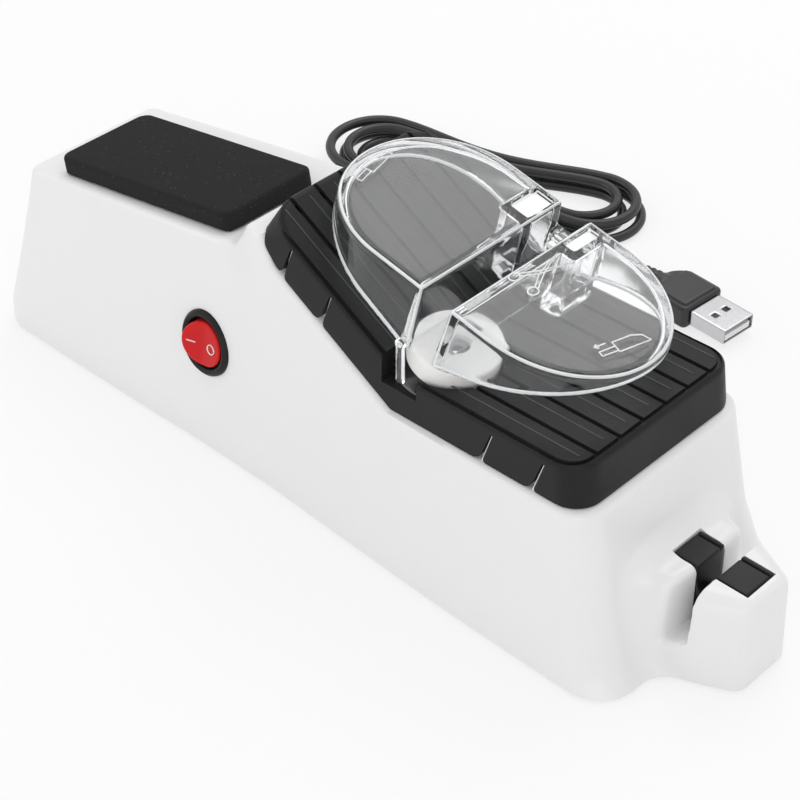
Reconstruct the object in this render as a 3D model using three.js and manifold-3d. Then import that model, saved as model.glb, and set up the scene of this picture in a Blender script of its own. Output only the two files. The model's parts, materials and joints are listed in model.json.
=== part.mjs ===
import * as THREE from 'three';
import Module from 'manifold-3d';
import { mergeVertices } from 'three/addons/utils/BufferGeometryUtils.js';

const wasm = await Module();
wasm.setup();
const { Manifold, Mesh } = wasm;

// Electric knife sharpener. Millimetres; X from the heel to the nose, Y to the far side, Z up.

// Shared sizes
const gap = 0.3;
const overrun = 3;
const weldTolerance = 0.0001;
const degree = Math.PI / 180;
const arcSteps = 5;
const ovalSteps = 18;
const roundSteps = 32;
const smallRoundSteps = 16;

// Moulded body: plan outline at rising levels
const heelX = -7;
const noseTipX = 225;
const centreX = (heelX + noseTipX) / 2;
const bodyHalfWidth = 34.7;
const levelTop = 82;
const levelShares = [0, 0.061, 0.1585, 0.2073, 0.3659, 0.561, 0.7317, 1];
const stationShares = [0.0222, 0.2222, 0.3289, 0.4267, 0.5556, 0.7333, 0.8667];
const widthShares = [
  [0.951, 0.939, 0.922, 0.922, 0.957, 0.994, 1],
  [0.948, 0.937, 0.919, 0.919, 0.945, 0.98, 0.977],
  [0.934, 0.922, 0.908, 0.908, 0.928, 0.957, 0.951],
  [0.859, 0.859, 0.859, 0.882, 0.911, 0.922, 0.916],
  [0.738, 0.772, 0.807, 0.847, 0.876, 0.882, 0.876],
  [0.622, 0.674, 0.732, 0.833, 0.847, 0.847, 0.844],
  [0.599, 0.625, 0.631, 0.827, 0.833, 0.836, 0.836],
  [0.576, 0.599, 0.611, 0.821, 0.827, 0.827, 0.827],
];
const heelInsetMax = 10;
const heelInsetShares = [0, 0.05, 0.1, 0.31, 0.48, 0.68, 0.8, 1];
const heelRadius = 12;
const heelRadiusShares = [1, 0.96, 0.9, 0.75, 0.5, 0.3, 0.25, 0.2];
const noseLong = 16.8;
const endX = noseTipX - noseLong;
const endInsetMax = 19.2;
const endInsetShares = [0, 0.21, 0.36, 0.43, 0.58, 0.76, 0.87, 1];
const endRadius = 13;
const endRadiusShares = [1, 0.92, 0.85, 0.77, 0.65, 0.54, 0.5, 0.46];

// Moulded body: side line
const wall = 2.4;
const housingBottom = 2.2;
const heelTopX = 0.4;
const heelTopZ = 45.5;
const blockTilt = 9.75 * degree;
const riserFootX = 77.5;
const riserMidX = 81;
const riserMidZ = 60.7;
const riserTopX = 89.5;
const crestZ = 72;
const crestX = 95.5;
const shoulderBreakX = 99.5;
const shoulderBreakZ = 65.3;
const valleyShoulderX = 136.5;
const valleyShoulderZ = 43.7;
const endShoulderZ = 45.8;

// Nose block
const noseRootBack = 35;
const noseRootX = noseTipX - noseRootBack;
const noseRootHalf = 18.6;
const noseTipHalf = 8.7;
const noseShoulderBack = 12;
const noseShoulderX = noseTipX - noseShoulderBack;
const noseShoulderHalf = 14.4;
const noseTopZ = 25.4;
const noseRound = 4.2;
const noseBatter = 1.3;
const noseTipBatter = 0.8;
const noseTipRoundShare = 0.45;
const noseCorner = 1.4;
const slotBack = 17.1;
const slotStartX = noseTipX - slotBack;
const slotWidth = 5.1;
const slotFloorZ = 9.6;
const slotMouth = 1.4;
const slotMouthY = 5.6;

// Slotted insert in the nose
const insertLong = 6.7;
const insertTipLong = 8.3;
const insertStartX = slotStartX - insertLong;
const insertEndX = slotStartX + slotWidth + insertTipLong;
const insertHalf = 4.9;
const insertRim = 1.1;
const insertGroove = 0.6;
const insertFloorZ = 8.4;
const insertWebTop = 10;
const bladeThick = 1.2;
const bladeLong = 13;
const bladeTall = 3.6;
const bladeTilt = 22 * degree;
const bladeZ = 13.4;
const bladeY = 2;

// Guide cover
const coverHalf = 28.07;
const coverThick = 2;
const coverStartX = 93.6;
const coverEndX = 192;
const coverTopX = 95.4;
const coverTopZ = 79.9;
const coverValleyX = 138.9;
const coverValleyZ = 54.9;
const coverEndTopX = 190.6;
const coverEndTopZ = 56.2;
const coverCorner = 7;
const coverEdge = 1.2;
const plankPitch = 7.84;
const plankSides = [-3, -2, -1, 0, 1, 2, 3];
const grooveWide = 1;
const grooveDeep = 0.7;
const borderInset = 1.9;
const grooveStartX = 97.6;
const grooveEndX = 188.4;
const slitXs = [103.9, 116.1, 165.1, 179.8];
const slitWide = 0.9;
const slitTopDrop = 2.4;
const notchStartX = 133.7;
const notchEndX = 144.2;
const notchFloorZ = 50.4;
const notchDepth = 6.4;
const recessWall = 1.3;

// Clear guard, in its own tilted plane
const guardX = 142;
const guardZ = 77.9;
const guardTilt = 11.3 * degree;
const guardWall = 1.8;
const guardHalf = 23.8;
const guardEdge = 1;
const guardFlare = 2.4;
const guardReach = 32;
const leftOvalX = -15.3;
const leftOvalLong = 24.9;
const slotGapX = 8.2;
const slotLean = 2.4;
const rightOvalX = 18.9;
const rightOvalLong = 27.5;
const leftRimLift = 6.2;
const rightRimZ = 61;
const rightRimX = 150;
const rightRimRise = 0.16;
const bridgeDrop = 7.5;
const bridgeThick = 3.6;
const bridgeLong = 3.8;
const bridgeOut = 0.6;
const bridgeEndY = guardHalf + bridgeOut;
const bridgeStartY = bridgeEndY - bridgeLong;
const pocketLong = 9;
const pocketInset = 2.1;
const pocketEndY = guardHalf - pocketInset;
const pocketStartY = pocketEndY - pocketLong;
const leftPocketX = -6.9;
const leftPocketWide = 5.7;
const rightPocketX = 9.4;
const rightPocketWide = 3.4;
const pocketDeep = 15;
const postWall = 1.4;
const postStep = 2.2;
const pegInset = 1;
const pegLong = 2.6;
const tabX = 138.4;
const tabWide = 3.4;
const tabOut = 3.7;
const tabY = -guardHalf - tabOut;
const tabThick = 1.6;
const tabReach = 3.4;
const tabBottomZ = 51.6;
const tabTopZ = 63.6;

// Hone pad
const padLong = 65.2;
const padWide = 29.8;
const padThick = 5.2;
const padCorner = 3.4;
const padStartX = 10.8;
const padCentreY = -4.7;
const padCrown = 0.5;

// Drive, measured down the tilted wheel axis from the wheel's top
const driveX = 144.3;
const driveInset = 13.67;
const driveY = driveInset - coverHalf;
const driveZ = 60;
const driveTilt = 12 * degree;
const wheelRadius = 10.9;
const wheelThick = 6;
const wheelChamfer = 0.8;
const wheelBore = 3.5;
const wheelClear = 1.1;
const hubRadius = 3.2;
const hubTopDrop = 1.4;
const hubFlange = 5.2;
const hubFlangeThick = 1.6;
const hubBore = 1.3;
const shaftRadius = 1;
const shaftTopDrop = 2.4;
const shaftEndDrop = 42;
const bracketDrop = 16;
const bracketThick = 1.5;
const bracketLong = 38;
const bracketWide = 17;
const bracketHole = 3.4;
const bracketScrewX = 15.5;
const bracketPostRadius = 2.8;
const canDrop = 17.8;
const canLong = 22.2;
const canRadius = 8.6;
const canWall = 0.8;
const canHole = 3.1;
const bushRadius = 2.8;
const bushLong = 3;
const rotorDrop = 23;
const rotorLong = 12;
const rotorRadius = 5.3;
const magnetInner = 5.9;
const magnetOuter = 7.5;
const magnetDrop = 22;
const magnetLong = 14;
const magnetSpan = 120 * degree;
const capDrop = 40.3;
const capLong = 2.6;
const terminalThick = 0.6;
const terminalWide = 2;
const terminalLong = 4;
const terminalX = 5;
const motorScrewY = 5.4;
const screwShank = 0.9;
const screwHead = 1.9;
const screwHeadThick = 1.2;
const screwLong = 4;
const bracketScrewLong = 7;
const screwClear = 0.35;

// Rocker switch, in the frame of the near wall
const switchX = 73.7;
const switchSideShare = 0.804;
const switchY = -switchSideShare * bodyHalfWidth;
const switchZ = 29.9;
const switchLean = 8.5 * degree;
const switchYaw = -3.2 * degree;
const bezelRadius = 8.45;
const bezelThick = 1.5;
const bezelBody = 7.3;
const bezelDeep = 13;
const bezelWell = 6.7;
const wellDeep = 6.2;
const seatDeep = 0.5;
const rockerRadius = 6.1;
const rockerFoot = 4.9;
const rockerThick = 4.1;
const rockerPeak = 2.6;
const rockerTilt = 11 * degree;
const lugWide = 0.8;
const lugLong = 6;
const lugHalf = 2.2;
const lugX = 3.4;

// Base plate, feet and screws
const plateBottom = 0.8;
const plateEdgeTop = 1.9;
const plateTop = 3.6;
const plateInset = 3;
const footRadius = 6;
const footTop = 1.5;
const footHeelInset = 21;
const footNoseInset = 42;
const footXs = [heelX + footHeelInset, noseTipX - footNoseInset];
const footSideInset = 12.7;
const footY = bodyHalfWidth - footSideInset;
const screwHeelInset = 47;
const screwNoseInset = 54;
const screwXs = [heelX + screwHeelInset, noseTipX - screwNoseInset];
const screwSideInset = 16.2;
const baseScrewY = bodyHalfWidth - screwSideInset;
const baseScrewShank = 1.3;
const baseScrewHead = 2.7;
const baseScrewHeadThick = 1.6;
const baseScrewLong = 12;
const bossRadius = 3.4;
const bossBottom = 4;
const ventXs = [118, 124, 130, 136, 142, 148];
const ventWide = 2;
const ventLong = 16;

// Cord and plug
const cordRadius = 1.5;
const cordFloor = 1.55;
const outletX = 20;
const outletZ = 9;
const outletInset = 2.1;
const outletY = bodyHalfWidth - outletInset;
const grommetFlange = 3.6;
const grommetNeck = 2.3;
const grommetHole = 2.6;
const grommetBoot = 3.1;
const grommetEnd = 2;
const grommetLong = 14;
const hankX = 47;
const hankY = 106;
const hankYaw = 17 * degree;
const hankLong = 50.5;
const hankWide = 15.4;
const hankPitchLong = 5.6;
const hankPitchWide = 3.7;
const hankTurns = 2;
const hankLayerRise = 3.6;
const hankSteps = 24;
const hankStraightSteps = 3;
const leadSteps = 22;
const tailSteps = 26;
const leadTurnX = 15;
const leadTurnY = 60;
const leadTurnZ = 3.2;
const leadLowX = 8;
const leadLowY = 68.5;
const leadBackX = 8.6;
const leadBackY = 76;
const tailLowAlong = 12;
const tailLowZ = 2.4;
const tailAcross = 19.6;
const tailFarAlong = 36;
const overmoldLong = 17;
const overmoldWide = 15.6;
const overmoldTall = 7.9;
const overmoldCorner = 1.6;
const plugX = 134.6;
const plugY = 97.2;
const plugZ = 4;
const plugYaw = -4 * degree;
const reliefLong = 8;
const reliefRadius = 2.7;
const shellLong = 12;
const shellWide = 12;
const shellTall = 4.5;
const shellWall = 0.35;
const tongueTall = 1.8;
const tongueInset = 0.7;
const wireRadius = 0.7;
const wireSteps = 20;
const wireMidX = 104;
const wireMidY = -2;
const wireMidZ = 8;
const feedMidX = 46;
const returnMidX = 50;
const returnMidY = 6;

// Solid helpers
const toSolid = (geometry) => {
  const bare = geometry.index ? geometry.toNonIndexed() : geometry.clone();
  bare.deleteAttribute('normal');
  bare.deleteAttribute('uv');
  const merged = mergeVertices(bare, weldTolerance);
  return new Manifold(new Mesh({
    numProp: 3,
    vertProperties: Float32Array.from(merged.attributes.position.array),
    triVerts: Uint32Array.from(merged.index.array),
  }));
};

const toGeometry = (solid) => {
  const mesh = solid.getMesh();
  const geometry = new THREE.BufferGeometry();
  const points = new Float32Array(mesh.numVert * 3);
  for (let vertex = 0; vertex < mesh.numVert; vertex += 1) {
    for (let axis = 0; axis < 3; axis += 1) {
      points[vertex * 3 + axis] = mesh.vertProperties[vertex * mesh.numProp + axis];
    }
  }
  geometry.setAttribute('position', new THREE.BufferAttribute(points, 3));
  geometry.setIndex(Array.from(mesh.triVerts));
  geometry.computeVertexNormals();
  return geometry;
};

const joined = (...solids) => solids.reduce((sum, solid) => sum.add(solid));
const cut = (solid, ...cutters) => cutters.reduce((rest, cutter) => rest.subtract(cutter), solid);

// Closed solid from outlines at rising levels, each outline counter-clockwise seen from above
const stack = (levels) => {
  const count = levels[0].points.length;
  const positions = [];
  levels.forEach((level) => {
    level.points.forEach(([x, y]) => positions.push(x, y, level.z));
  });
  const index = [];
  for (let level = 0; level < levels.length - 1; level += 1) {
    for (let side = 0; side < count; side += 1) {
      const next = (side + 1) % count;
      const a = level * count + side;
      const b = level * count + next;
      index.push(a, b, b + count, a, b + count, a + count);
    }
  }
  const capOf = (level, flip) => {
    const contour = levels[level].points.map(([x, y]) => new THREE.Vector2(x, y));
    THREE.ShapeUtils.triangulateShape(contour, []).forEach(([a, b, c]) => {
      const offset = level * count;
      const face = flip ? [c, b, a] : [a, b, c];
      face.forEach((corner) => index.push(corner + offset));
    });
  };
  capOf(0, true);
  capOf(levels.length - 1, false);
  const geometry = new THREE.BufferGeometry();
  geometry.setAttribute('position', new THREE.Float32BufferAttribute(positions, 3));
  geometry.setIndex(index);
  return toSolid(geometry);
};

const block = (x0, x1, y0, y1, z0, z1) => {
  const geometry = new THREE.BoxGeometry(x1 - x0, y1 - y0, z1 - z0);
  geometry.translate((x0 + x1) / 2, (y0 + y1) / 2, (z0 + z1) / 2);
  return toSolid(geometry);
};

// Side outline of [x, z] points carried along Y
const sideSlab = (outline, y0, y1) => {
  const shape = new THREE.Shape(outline.map(([x, z]) => new THREE.Vector2(x, z)));
  const geometry = new THREE.ExtrudeGeometry(shape, { depth: y1 - y0, bevelEnabled: false });
  geometry.rotateX(Math.PI / 2);
  geometry.translate(0, y1, 0);
  return toSolid(geometry);
};

// Solid of revolution about Z from [radius, height] points, closed or ending on the axis
const turned = (profile, steps = roundSteps) => {
  const points = profile.map(([radius, height]) => new THREE.Vector2(radius, height));
  const geometry = new THREE.LatheGeometry(points, steps);
  geometry.rotateX(Math.PI / 2);
  return toSolid(geometry);
};

const rod = (radius, z0, z1, steps = smallRoundSteps) => turned([[0, z0], [radius, z0], [radius, z1], [0, z1]], steps);

const ring = (inner, outer, z0, z1, steps = roundSteps) => turned(
  [[inner, z0], [outer, z0], [outer, z1], [inner, z1], [inner, z0]],
  steps,
);

const roundedOutline = (x0, x1, y0, y1, radius, steps = arcSteps) => {
  const corners = [
    [x0 + radius, y0 + radius, Math.PI],
    [x1 - radius, y0 + radius, Math.PI * 1.5],
    [x1 - radius, y1 - radius, 0],
    [x0 + radius, y1 - radius, Math.PI / 2],
  ];
  return corners.flatMap(([x, y, start]) => Array.from({ length: steps + 1 }, (unused, step) => {
    const angle = start + (Math.PI / 2) * (step / steps);
    return [x + radius * Math.cos(angle), y + radius * Math.sin(angle)];
  }));
};

const roundedBlock = (x0, x1, y0, y1, z0, z1, radius) => {
  const points = roundedOutline(x0, x1, y0, y1, radius);
  return stack([{ z: z0, points }, { z: z1, points }]);
};

const matrixOf = (position, rotation) => {
  const holder = new THREE.Object3D();
  holder.position.copy(position);
  holder.rotation.copy(rotation);
  holder.updateMatrix();
  return holder.matrix;
};

const placed = (solid, matrix) => {
  const geometry = toGeometry(solid);
  geometry.applyMatrix4(matrix);
  return toSolid(geometry);
};

// Local frames
const driveSpot = new THREE.Vector3(driveX, driveY, driveZ);
const driveTurn = new THREE.Euler(0, driveTilt, 0);
const driveMatrix = matrixOf(driveSpot, driveTurn);
const guardSpot = new THREE.Vector3(guardX, 0, guardZ);
const guardTurn = new THREE.Euler(0, guardTilt, 0);
const guardMatrix = matrixOf(guardSpot, guardTurn);
const switchSpot = new THREE.Vector3(switchX, switchY, switchZ);
const switchTurn = new THREE.Euler(Math.PI / 2 - switchLean, 0, switchYaw, 'ZYX');
const switchMatrix = matrixOf(switchSpot, switchTurn);
const plugSpot = new THREE.Vector3(plugX, plugY, plugZ);
const plugTurn = new THREE.Euler(0, 0, plugYaw);
const plugMatrix = matrixOf(plugSpot, plugTurn);

// Plan outline of the body at one level, drawn in by an inset
const bodyOutline = (level, inset) => {
  const halves = widthShares[level].map((share) => share * bodyHalfWidth - inset);
  const stations = stationShares.map((share) => share * noseTipX);
  const startX = heelX + heelInsetShares[level] * heelInsetMax + inset;
  const finishX = endX - endInsetShares[level] * endInsetMax - inset;
  const heel = Math.max(heelRadius * heelRadiusShares[level] - inset, gap);
  const end = Math.max(endRadius * endRadiusShares[level] - inset, gap);
  const heelHalf = halves[0];
  const endHalf = halves[halves.length - 1];
  const arc = (x, y, radius, start) => Array.from({ length: arcSteps + 1 }, (unused, step) => {
    const angle = start + (Math.PI / 2) * (step / arcSteps);
    return [x + radius * Math.cos(angle), y + radius * Math.sin(angle)];
  });
  const inner = stations.map((x, station) => [x, halves[station]]).slice(1, -1);
  return [
    ...arc(startX + heel, heel - heelHalf, heel, Math.PI),
    ...inner.map(([x, half]) => [x, -half]),
    ...arc(finishX - end, end - endHalf, end, Math.PI * 1.5),
    ...arc(finishX - end, endHalf - end, end, 0),
    ...inner.map(([x, half]) => [x, half]).reverse(),
    ...arc(startX + heel, heelHalf - heel, heel, Math.PI / 2),
  ];
};

const bodyStack = (inset) => stack(levelShares.map((share, level) => ({
  z: share * levelTop,
  points: bodyOutline(level, inset),
})));

const blockLine = (x) => heelTopZ + Math.tan(blockTilt) * (x - heelTopX);
const farLeft = heelX - overrun;
const farRight = noseTipX + overrun;
const farSide = bodyHalfWidth + overrun;

const sideLine = (drop, bottom) => [
  [farLeft, bottom],
  [farRight, bottom],
  [farRight, endShoulderZ - drop],
  [valleyShoulderX + drop, valleyShoulderZ - drop],
  [valleyShoulderX, valleyShoulderZ - drop],
  [shoulderBreakX, shoulderBreakZ - drop],
  [crestX - drop / 2, crestZ - drop],
  [riserTopX + drop, crestZ - drop],
  [riserMidX + drop, riserMidZ - drop],
  [riserFootX + drop / 2, blockLine(riserFootX) - drop],
  [farLeft, blockLine(farLeft) - drop],
];

// Raised seat under the guide cover
const seatHalf = coverHalf - coverThick - gap;
const seatDrop = coverThick + gap + gap;
const seatStartX = coverStartX + coverThick + coverEdge + gap;
const seatEndX = coverEndTopX - coverThick - gap;
const seatLine = (drop) => [
  [seatStartX + drop, valleyShoulderZ - wall],
  [seatEndX - drop, endShoulderZ - wall],
  [seatEndX - drop, coverEndTopZ - seatDrop - drop],
  [coverValleyX, coverValleyZ - seatDrop - drop],
  [coverTopX + coverThick + drop, coverTopZ - coverThick - seatDrop - drop],
  [seatStartX + drop, coverTopZ - coverThick - seatDrop - drop],
];
const seatSolid = (drop, bottom) => {
  const outline = seatLine(drop);
  outline[0] = [outline[0][0], bottom];
  outline[1] = [outline[1][0], bottom];
  return sideSlab(outline, drop - seatHalf, seatHalf - drop).intersect(roundedBlock(
    seatStartX + drop,
    seatEndX - drop,
    drop - seatHalf,
    seatHalf - drop,
    bottom - overrun,
    levelTop,
    Math.max(coverCorner - coverThick - drop, gap),
  ));
};

// Nose block: battered sides, and a top edge rounded in steps
const noseOutline = (rootHalf, shoulderHalf, tipX, tipHalf) => {
  const cornerHalf = tipHalf + noseCorner * ((shoulderHalf - tipHalf) / noseShoulderBack);
  return [
    [noseRootX, -rootHalf],
    [noseShoulderX, -shoulderHalf],
    [tipX - noseCorner, -cornerHalf],
    [tipX, noseCorner - tipHalf],
    [tipX, tipHalf - noseCorner],
    [tipX - noseCorner, cornerHalf],
    [noseShoulderX, shoulderHalf],
    [noseRootX, rootHalf],
  ];
};
const noseLevel = (z, inset) => {
  const rise = z / noseTopZ;
  const tipInset = inset * noseTipRoundShare;
  return {
    z,
    points: noseOutline(
      noseRootHalf - noseBatter * rise - inset,
      noseShoulderHalf - noseBatter * rise - inset,
      noseTipX - noseTipBatter * rise - tipInset,
      noseTipHalf - noseTipBatter * rise - tipInset,
    ),
  };
};
const noseArc = Array.from({ length: arcSteps + 1 }, (unused, step) => (Math.PI / 2) * (step / arcSteps));
const noseSolid = stack([
  noseLevel(0, 0),
  ...noseArc.map((angle) => noseLevel(
    noseTopZ - noseRound + noseRound * Math.sin(angle),
    noseRound * (1 - Math.cos(angle)),
  )),
]);

// Upper housing
const outerShell = bodyStack(0).intersect(sideSlab(sideLine(0, 0), -farSide, farSide));
const outerBody = joined(outerShell, noseSolid, seatSolid(0, valleyShoulderZ - overrun - wall));
const innerSpace = joined(
  bodyStack(wall).intersect(sideSlab(sideLine(wall, -overrun), -farSide, farSide)),
  seatSolid(wall, valleyShoulderZ - overrun - overrun - wall),
);

const bossHole = (x, y) => rod(baseScrewShank + gap, 0, baseScrewLong + overrun).translate(x, y, 0);
const screwSpots = screwXs.flatMap((x) => [[x, -baseScrewY], [x, baseScrewY]]);
const footSpots = footXs.flatMap((x) => [[x, -footY], [x, footY]]);
const bosses = screwSpots.map(([x, y]) => rod(bossRadius, bossBottom, levelTop).translate(x, y, 0).intersect(outerBody));
const bracketPosts = [-bracketScrewX, bracketScrewX].map((x) => placed(
  rod(bracketPostRadius, gap - bracketDrop, overrun).translate(x, 0, 0),
  driveMatrix,
).intersect(outerBody));
const bracketPostHoles = [-bracketScrewX, bracketScrewX].map((x) => placed(
  rod(screwShank + screwClear, -bracketDrop - overrun, bracketScrewLong - bracketThick - bracketDrop + gap).translate(x, 0, 0),
  driveMatrix,
));
const wheelPocket = placed(rod(wheelRadius + wheelClear, -bracketDrop + overrun, overrun + overrun, roundSteps), driveMatrix);
const switchHole = placed(rod(bezelBody + gap, -bezelDeep, overrun, roundSteps), switchMatrix);
const switchSeat = placed(rod(bezelRadius + gap, -seatDeep, overrun, roundSteps), switchMatrix);
const outletHole = placed(
  rod(grommetHole, -overrun - wall, overrun, smallRoundSteps),
  matrixOf(new THREE.Vector3(outletX, outletY, outletZ), new THREE.Euler(-Math.PI / 2, 0, 0)),
);
const slotEndX = slotStartX + slotWidth;
const slotCut = block(slotStartX, slotEndX, -noseRootHalf - overrun, noseRootHalf + overrun, slotFloorZ, levelTop);
const slotFlares = [-1, 1].map((side) => {
  const mouth = [
    [slotStartX, slotMouthY - slotMouth],
    [slotEndX, slotMouthY - slotMouth],
    [slotEndX, noseRootHalf],
    [slotStartX - slotMouth - slotMouth, noseRootHalf],
    [slotStartX - slotMouth, slotMouthY + slotMouthY],
    [slotStartX - slotMouth / 3, slotMouthY],
  ].map(([x, y]) => [x, y * side]);
  const points = side < 0 ? mouth.reverse() : mouth;
  return stack([{ z: slotFloorZ, points }, { z: levelTop, points }]);
});
const insertPocket = block(
  insertStartX - gap,
  insertEndX + gap,
  -insertHalf - gap,
  insertHalf + gap,
  insertFloorZ - gap,
  levelTop,
);

// Base plate
const plateSlab = (low, high) => block(farLeft, farRight, -farSide, farSide, low, high);
const ventCuts = ventXs.map((x) => roundedBlock(
  x - ventWide / 2,
  x + ventWide / 2,
  -ventLong / 2,
  ventLong / 2,
  -overrun,
  plateTop + overrun,
  ventWide / 2 - gap,
));
const basePlate = cut(
  joined(
    joined(bodyStack(0), noseSolid).intersect(plateSlab(plateBottom, plateEdgeTop)),
    bodyStack(plateInset).intersect(plateSlab(plateEdgeTop - gap, plateTop)),
  ),
  ...screwSpots.map(([x, y]) => joined(
    rod(baseScrewShank + gap, -overrun, plateTop + overrun).translate(x, y, 0),
    rod(baseScrewHead + gap, -overrun, plateBottom + baseScrewHeadThick + gap).translate(x, y, 0),
  )),
  ...footSpots.map(([x, y]) => rod(footRadius + gap, -overrun, footTop + gap, roundSteps).translate(x, y, 0)),
  ...ventCuts,
);

// Guide cover
const coverLine = (drop, lowDrop) => [
  [coverStartX + drop, crestZ + gap - lowDrop],
  [crestX, crestZ + gap - lowDrop],
  [shoulderBreakX, shoulderBreakZ + gap - lowDrop],
  [valleyShoulderX, valleyShoulderZ + gap - lowDrop],
  [coverEndX - drop, endShoulderZ + gap - lowDrop],
  [coverEndTopX - drop + coverEdge / 2, coverEndTopZ - drop - coverEdge],
  [coverEndTopX - drop - coverEdge / 2, coverEndTopZ - drop],
  [coverValleyX, coverValleyZ - drop - gap / 2],
  [coverTopX + coverEdge + drop / 2, coverTopZ - coverEdge * Math.tan(blockTilt) - drop],
  [coverTopX + drop / 2, coverTopZ - drop],
  [coverTopX - coverEdge + drop, coverTopZ - coverEdge - drop],
];
const coverPlan = (inset) => {
  const lower = roundedOutline(
    coverStartX + inset,
    coverEndX - inset,
    inset - coverHalf,
    coverHalf - inset,
    coverCorner - inset,
  );
  return stack([{ z: 0, points: lower }, { z: levelTop + overrun, points: lower }]);
};
const coverOuter = sideSlab(coverLine(0, 0), -coverHalf, coverHalf).intersect(coverPlan(0));
const coverInner = sideSlab(coverLine(coverThick, overrun), -coverHalf, coverHalf).intersect(coverPlan(coverThick));
const grooveLine = [
  [grooveStartX, coverTopZ - (coverTopZ - coverValleyZ) * ((grooveStartX - coverTopX) / (coverValleyX - coverTopX)) - grooveDeep],
  [coverValleyX, coverValleyZ - grooveDeep],
  [grooveEndX, coverEndTopZ - grooveDeep],
  [grooveEndX, levelTop + overrun],
  [grooveStartX, levelTop + overrun],
];
const grooveAt = (y) => sideSlab(grooveLine, y - grooveWide / 2, y + grooveWide / 2);
const borderY = coverHalf - borderInset;
const grooves = [...plankSides.map((place) => place * plankPitch), -borderY, borderY].map((y) => grooveAt(y));
const endGroove = block(
  grooveEndX - grooveWide,
  grooveEndX,
  -borderY - grooveWide / 2,
  borderY + grooveWide / 2,
  coverEndTopZ - grooveDeep,
  levelTop,
);
const rampZ = (x) => coverTopZ + (coverValleyZ - coverTopZ) * ((x - coverTopX) / (coverValleyX - coverTopX));
const flatZ = (x) => coverValleyZ + (coverEndTopZ - coverValleyZ) * ((x - coverValleyX) / (coverEndTopX - coverValleyX));
const coverZ = (x) => (x < coverValleyX ? rampZ(x) : flatZ(x));
const slits = slitXs.flatMap((x) => [-1, 1].map((side) => block(
  x - slitWide / 2,
  x + slitWide / 2,
  side < 0 ? -coverHalf - overrun : coverHalf - coverThick - gap,
  side < 0 ? gap + coverThick - coverHalf : coverHalf + overrun,
  endShoulderZ - overrun - overrun,
  coverZ(x) - slitTopDrop,
)));
const notch = block(
  notchStartX,
  notchEndX,
  -coverHalf - overrun,
  notchDepth - coverHalf,
  notchFloorZ,
  levelTop,
);

// Clear guard
const ovalHalf = (centre, long, half, side) => Array.from({ length: ovalSteps + 1 }, (unused, step) => {
  const angle = -Math.PI / 2 + Math.PI * (step / ovalSteps);
  return [centre + side * long * Math.cos(angle), side * half * Math.sin(angle)];
});
const leftOutline = (grow, slotShift) => [
  [slotShift, -guardHalf - grow],
  [slotShift, guardHalf + grow],
  ...ovalHalf(leftOvalX, leftOvalLong + grow, guardHalf + grow, -1),
];
const rightOutline = (grow, slotShift) => [
  [slotGapX + slotShift, guardHalf + grow],
  [slotGapX + slotShift, -guardHalf - grow],
  ...ovalHalf(rightOvalX, rightOvalLong + grow, guardHalf + grow, 1),
];
const guardLobe = (outline, lean) => stack([
  { z: -guardReach, points: outline(guardFlare, lean) },
  { z: -guardEdge, points: outline(0, 0) },
  { z: 0, points: outline(-guardEdge / 2, 0) },
]);
const guardHollow = (outline, lean, inward) => stack([
  { z: -guardReach - overrun, points: outline(guardFlare - guardWall, lean + inward * guardWall) },
  { z: -guardWall, points: outline(-guardWall, inward * guardWall) },
]);
const leftLobe = cut(guardLobe(leftOutline, 0), guardHollow(leftOutline, 0, -1));
const rightLobe = cut(guardLobe(rightOutline, -slotLean), guardHollow(rightOutline, -slotLean, 1));
const rimLeft = sideSlab([
  [coverStartX - overrun, rampZ(coverStartX - overrun) + leftRimLift],
  [coverValleyX + overrun, rampZ(coverValleyX + overrun) + leftRimLift],
  [noseTipX, rampZ(coverValleyX + overrun) + leftRimLift],
  [noseTipX, levelTop + levelTop],
  [coverStartX - overrun, levelTop + levelTop],
], -farSide, farSide);
const rimRight = sideSlab([
  [guardX - overrun, rightRimZ + rightRimRise * (guardX - overrun - rightRimX)],
  [noseTipX, rightRimZ + rightRimRise * (noseTipX - rightRimX)],
  [noseTipX, levelTop + levelTop],
  [guardX - overrun, levelTop + levelTop],
], -farSide, farSide);
const aboveCover = sideSlab([
  [coverStartX - overrun, rampZ(coverStartX - overrun) + gap],
  [coverValleyX, coverValleyZ + gap],
  [noseTipX, flatZ(noseTipX) + gap],
  [noseTipX, levelTop + levelTop],
  [coverStartX - overrun, levelTop + levelTop],
], -farSide, farSide);
const postBlock = (x, wide, drop, grow, y0, y1) => block(x - grow, x + wide + grow, y0 - grow, y1 + grow, -drop, -gap);
const postReach = guardReach;
const leftPost = postBlock(leftPocketX, leftPocketWide, postReach, postWall, pocketStartY, pocketEndY);
const rightPost = postBlock(rightPocketX, rightPocketWide, postReach, postWall, pocketStartY, pocketEndY);
const pockets = [
  block(leftPocketX, leftPocketX + leftPocketWide, pocketStartY, pocketEndY, -pocketDeep, overrun),
  block(rightPocketX, rightPocketX + rightPocketWide, pocketStartY, pocketEndY, -pocketDeep, overrun),
];
const postKeep = [
  block(leftPocketX - overrun, -gap, -farSide, guardHalf + gap, -postReach, 0),
  block(slotGapX - slotLean, slotGapX + overrun + overrun + overrun, -farSide, guardHalf + gap, -postReach, 0),
];
const footKeep = block(leftPocketX - overrun, -postStep, -farSide, guardHalf + gap, -postReach, 0);
const bridge = block(-guardWall, slotGapX + guardWall, bridgeStartY, bridgeEndY, -bridgeDrop - bridgeThick, -bridgeDrop);
const pegAt = (x, wide, grow, reach) => block(
  x + pegInset - grow,
  x + wide - pegInset + grow,
  pocketStartY + pegInset - grow,
  pocketEndY - pegInset + grow,
  -reach,
  -pocketDeep - overrun,
);
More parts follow.
